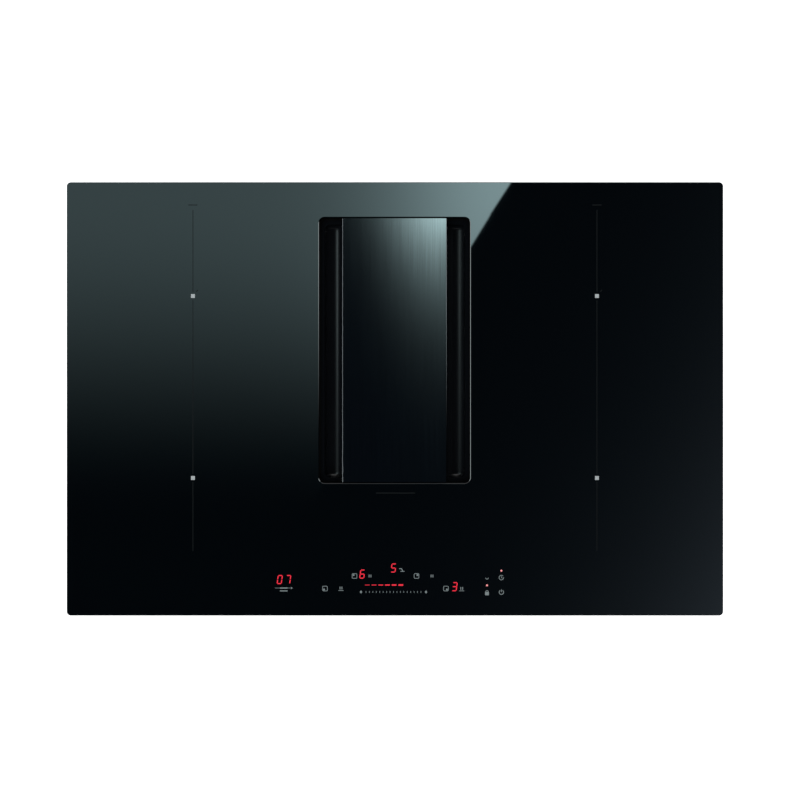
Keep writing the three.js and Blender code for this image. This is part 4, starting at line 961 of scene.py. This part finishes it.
def cable_collar():
    """Collar round the mains lead's way in, with a rounded rim."""
    outer, bore, edge = 10.0, 7.2, 1.2
    turn = np.linspace(0, QUARTER, 5)
    rim = [(outer - edge * (1 - np.cos(a)), 2.0 + edge * np.sin(a)) for a in turn]
    collar = turned([(outer, -0.4), *rim, (bore, 3.2), (bore, -0.4)], 40, True)
    return turned_to(collar, "rear", (-285.0, 236.0, 143.0))


piece("housing_screws", housing_screws(), [SCREW, RECESS_SHADE], "cooktop")
piece("housing_ribs", housing_ribs(), BLACK, "cooktop")
piece("cable_collar", cable_collar(), BLACK, "cooktop")


# ---------------------------------------------------------------- rounded edges of the carried-over pieces

BODY = {name: body for body, names in frame["record"]["behaviour"]["bodies"].items() for name in names}


def broken_edges(name, width):
    """A copy of a node with its doubles merged, its flat faces joined and its sharp edges rounded by width."""
    source = frame["nodes"][name]
    copy = bmesh.new()
    copy.from_mesh(source.data)
    bmesh.ops.remove_doubles(copy, verts=copy.verts, dist=0.00001)
    bmesh.ops.dissolve_limit(copy, angle_limit=np.radians(0.5), verts=copy.verts, edges=copy.edges)
    mesh = bpy.data.meshes.new(name + "_dressed")
    copy.to_mesh(mesh)
    copy.free()
    mesh.materials.clear()
    mesh.materials.append(node_finish(name).material)
    mesh.polygons.foreach_set("material_index", [0] * len(mesh.polygons))
    made = smooth_object(name + "_dressed", mesh, 35.0, width)
    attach(made, BODY[name])
    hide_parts(name)


EDGE_WIDTHS = {
    "chassis_pan": 0.4, "lower_housing": 0.8, "outlet_spigot": 0.6, "terminal_box": 0.5, "terminal_lid": 0.4,
    "drain_cap": 0.6, "grease_filter_frame": 0.4, "grease_filter_handle": 0.5, "odour_filter_frame": 0.5,
    "cover_support_front": 0.5, "cover_support_rear": 0.5, "clamp_arm_rear_right": 0.5,
    "clamp_arm_front_right": 0.5,
    "clamp_arm_rear_left": 0.5, "clamp_arm_front_left": 0.5, "cooling_fan_frame_left": 0.5,
    "cooling_fan_frame_right": 0.5, "terminal_block": 0.3, "touch_carrier": 0.3, "blower_lid": 0.5,
}
for name, width in EDGE_WIDTHS.items():
    broken_edges(name, width)


# ---------------------------------------------------------------- studio


def stage_sheet(name, corners, finish):
    """A four-cornered sheet of the stage."""
    mesh = bpy.data.meshes.new(name)
    mesh.from_pydata(corners, [], [(0, 1, 2, 3)])
    made = add(name, mesh)
    mesh.materials.append(finish.material)
    return made


def gloss_sheet(name, corners, finish):
    """A sheet of the stage that only mirrors see."""
    made = stage_sheet(name, corners, finish)
    made.visible_camera = False
    made.visible_diffuse = False
    made.visible_transmission = False
    made.visible_shadow = False
    made.visible_volume_scatter = False
    return made


def level_corners(x0, x1, y0, y1, z):
    return [(x0, y0, z), (x0, y1, z), (x1, y1, z), (x1, y0, z)]


def emitter(name):
    """A stage material that only shines; strengths are added as expressions."""
    finish = Finish(name)
    finish.tree.nodes.remove(finish.shader)
    return finish


def shine(finish, lights, see_through=False):
    """The sum of (colour, strength) lights as the material's surface."""
    total = None
    for colour, strength in lights:
        light = finish.node("ShaderNodeEmission", {}, {"Color": (*colour, 1.0), "Strength": strength})
        total = light if total is None else finish.node("ShaderNodeAddShader", {}, (total, light))
    if see_through:
        total = finish.node("ShaderNodeAddShader", {}, (total, finish.node("ShaderNodeBsdfTransparent")))
    out = finish.tree.nodes["Material Output"]
    finish.tree.links.new(total.socket, out.inputs["Surface"])


CAMERA = (0.006, -0.0013, 1.42)
CEILING = 1.82
# Seen from the camera, a move of 1 on the glass is a move of (1.2 + 1.6) / 1.2 on the mirrored ceiling
MIRROR_SPREAD = 2.3333
STEP = 0.0011877
CARD_SCALE = 1 / (MIRROR_SPREAD * STEP)

# The share of a light overhead that the glass and the brushed cover mirror
GLASS_MIRRORS = 0.0426
COVER_MIRRORS = 0.11


def card_axes(finish):
    """Column and row on the glass, in steps of STEP metres, in which a spot of the ceiling is mirrored."""
    x, y, _ = finish.axes()
    return 400.0 + (x - CAMERA[0]) * CARD_SCALE, 400.0 - (y - CAMERA[1]) * CARD_SCALE


def window_card():
    """The window that the glass mirrors: a bright field with one slanting edge, and a faint glow beyond.

    Across the columns u the field is 0.05 + 0.16 exp(-((u - 500) / 100)^2) + 0.06 exp((u - 500) / 120).
    Down the rows it falls as a cosine cubed over 350 of them. The card's borders fade to plain white.
    """
    finish = emitter("window light")
    u, v = card_axes(finish)
    side = (510.4 - (v - 182.0) * 0.6169 - u).rise(-1.5, 1.5)
    swell = (u - 500.0) / 100.0
    across = 0.05 + 0.16 * (swell * swell * -1.0).exp() + 0.06 * ((u - 500.0) / 120.0).exp()
    fall = (((v - 186.0) / 350.0).most(0.0).least(1.0) * QUARTER).cos() ** 3.0
    field = across * fall * side * (1.05 / GLASS_MIRRORS)
    glow = ((u - 718.0) / 95.0 + (v - 612.0) / 190.0).least(0.6).exp() * (0.0167 / GLASS_MIRRORS)
    x, y, _ = finish.axes()
    rim = abs(x).rise(1.0, 1.6).most(abs(y).rise(0.75, 1.3))
    inside = 1 - rim
    lights = [((0.69, 1.0, 1.04), field * inside), ((0.8, 1.0, 1.2), glow * inside), ((1.0, 1.0, 1.0), rim)]
    shine(finish, lights)
    return gloss_sheet("window_card", level_corners(-1.6, 1.6, -1.3, 1.3, CEILING), finish)


def cover_card():
    """The lamp that the brushed cover mirrors: brightest beyond its rear right corner."""
    finish = emitter("cover light")
    u, v = card_axes(finish)
    lean = (451.0 - u) / 32.0
    across = (lean * lean * -0.5).exp()
    fall = ((235.0 - v) / 37.5).least(0.5).exp()
    lights = [((0.72, 1.0, 0.98), across * fall * (0.37 / COVER_MIRRORS)), ((0.6, 1.0, 1.5), 0.022)]
    shine(finish, lights, True)
    return gloss_sheet("cover_card", level_corners(-0.9, 0.9, -0.9, 0.9, CEILING - 0.01), finish)


def channel_card():
    """The lamp that shines past the cover's left side into the channels: brightest over the rear half."""
    finish = emitter("channel light")
    x, _, _ = finish.axes()
    _, v = card_axes(finish)
    across = (x + 1.0) / 0.27
    past = ((v - 260.0) / 110.0).most(0.0)
    shine(finish, [((0.8, 1.0, 1.02), (across * across * -0.5).exp() / (past * past + 1.0) * 1.9)], True)
    return gloss_sheet("channel_card", level_corners(-1.5, -0.1, -1.0, 1.0, CEILING - 0.02), finish)


def light_only(light, receivers, include=True):
    """Links a light to these objects alone, or to all but these."""
    group = bpy.data.collections.new(light.name + " receivers")
    for thing in receivers:
        group.objects.link(thing)
    light.light_linking.receiver_collection = group
    for thing in group.collection_objects:
        thing.light_linking.link_state = "INCLUDE" if include else "EXCLUDE"


light_only(window_card(), [cover, well, *tray], False)
light_only(cover_card(), [cover])
light_only(channel_card(), tray)


def side_strip(name, x, level, start, end, low, high):
    """A low lamp beside the cooktop for its small edges to mirror, along Y, fading at its front."""
    finish = emitter(name + " light")
    _, y, _ = finish.axes()
    shine(finish, [((0.9, 1.0, 1.02), y.rise(start, start + 0.5) * level)])
    gloss_sheet(name, [(x, start, low), (x, end, low), (x, end, high), (x, start, high)], finish)


side_strip("strip_left", -1.9, 7.5, -1.6, 1.2, 0.22, 0.9)
side_strip("strip_right", 1.4, 7.0, -0.1, 1.2, 0.22, 0.9)


def dark_flag(name, corners):
    """A black sheet that only mirrors see, to keep one side of the room out of the edges."""
    finish = emitter("flag black")
    shine(finish, [((0.0, 0.0, 0.0), 0.0)])
    gloss_sheet(name, corners, finish)


dark_flag("flag_right", [(1.5, -2.5, 0.0), (1.5, 2.5, 0.0), (1.5, 2.5, 1.8), (1.5, -2.5, 1.8)])
dark_flag("flag_front", [(-2.5, -1.5, 0.0), (2.5, -1.5, 0.0), (2.5, -1.5, 1.8), (-2.5, -1.5, 1.8)])


def floor():
    """Pale floor: diffuse with the object's shadow, lifted to white where the camera sees it lit."""
    finish = Finish("pale floor", (0.86, 0.86, 0.86), 0.9, Specular_IOR_Level=0.0)
    path = finish.node("ShaderNodeLightPath", output="Is Camera Ray")
    finish.feed("Emission Color", (1.0, 1.0, 1.0))
    finish.feed("Emission Strength", path * 0.7)
    stage_sheet("floor", [(-8, -8, 0.0), (8, -8, 0.0), (8, 8, 0.0), (-8, 8, 0.0)], finish)


floor()


def world():
    """Even light for matt surfaces; camera, mirror and see-through rays meet plain white."""
    sky = bpy.data.worlds.new("studio")
    bpy.context.scene.world = sky
    sky.use_nodes = True
    tree = sky.node_tree
    path = tree.nodes.new("ShaderNodeLightPath")
    clear = path.outputs["Is Camera Ray"]
    for ray in ("Is Glossy Ray", "Is Transmission Ray"):
        either = tree.nodes.new("ShaderNodeMath")
        either.operation = "MAXIMUM"
        tree.links.new(clear, either.inputs[0])
        tree.links.new(path.outputs[ray], either.inputs[1])
        clear = either.outputs[0]
    level = tree.nodes.new("ShaderNodeMapRange")
    tree.links.new(clear, level.inputs["Value"])
    level.inputs["To Min"].default_value = 0.55
    level.inputs["To Max"].default_value = 1.0
    background = tree.nodes["Background"]
    tree.links.new(level.outputs["Result"], background.inputs["Strength"])
    background.inputs["Color"].default_value = (1.0, 1.0, 1.0, 1.0)


world()


def lamp(name, place, aim, size, power):
    """A square soft lamp that matt surfaces see and mirrors don't."""
    light = bpy.data.lights.new(name, "AREA")
    light.shape = "SQUARE"
    light.size = size
    light.energy = power
    made = add(name, light)
    direction = np.array(aim, float) - np.array(place, float)
    made.location = place
    made.rotation_euler = Vector(direction).to_track_quat("-Z", "Y").to_euler()
    made.visible_glossy = False


lamp("key", (-0.9, -1.1, 2.6), (0, 0, 0.1), 2.0, 38.0)
lamp("fill", (1.8, 0.9, 1.9), (0, 0, 0.1), 1.8, 14.0)

camera = bpy.data.cameras.new("camera")
camera.lens = 45.47
camera.sensor_width = 36.0
camera.clip_start = 0.01
camera.clip_end = 50.0
viewer = add("camera", camera)
viewer.location = CAMERA
bpy.context.scene.camera = viewer
bpy.context.scene.view_settings.view_transform = "Standard"
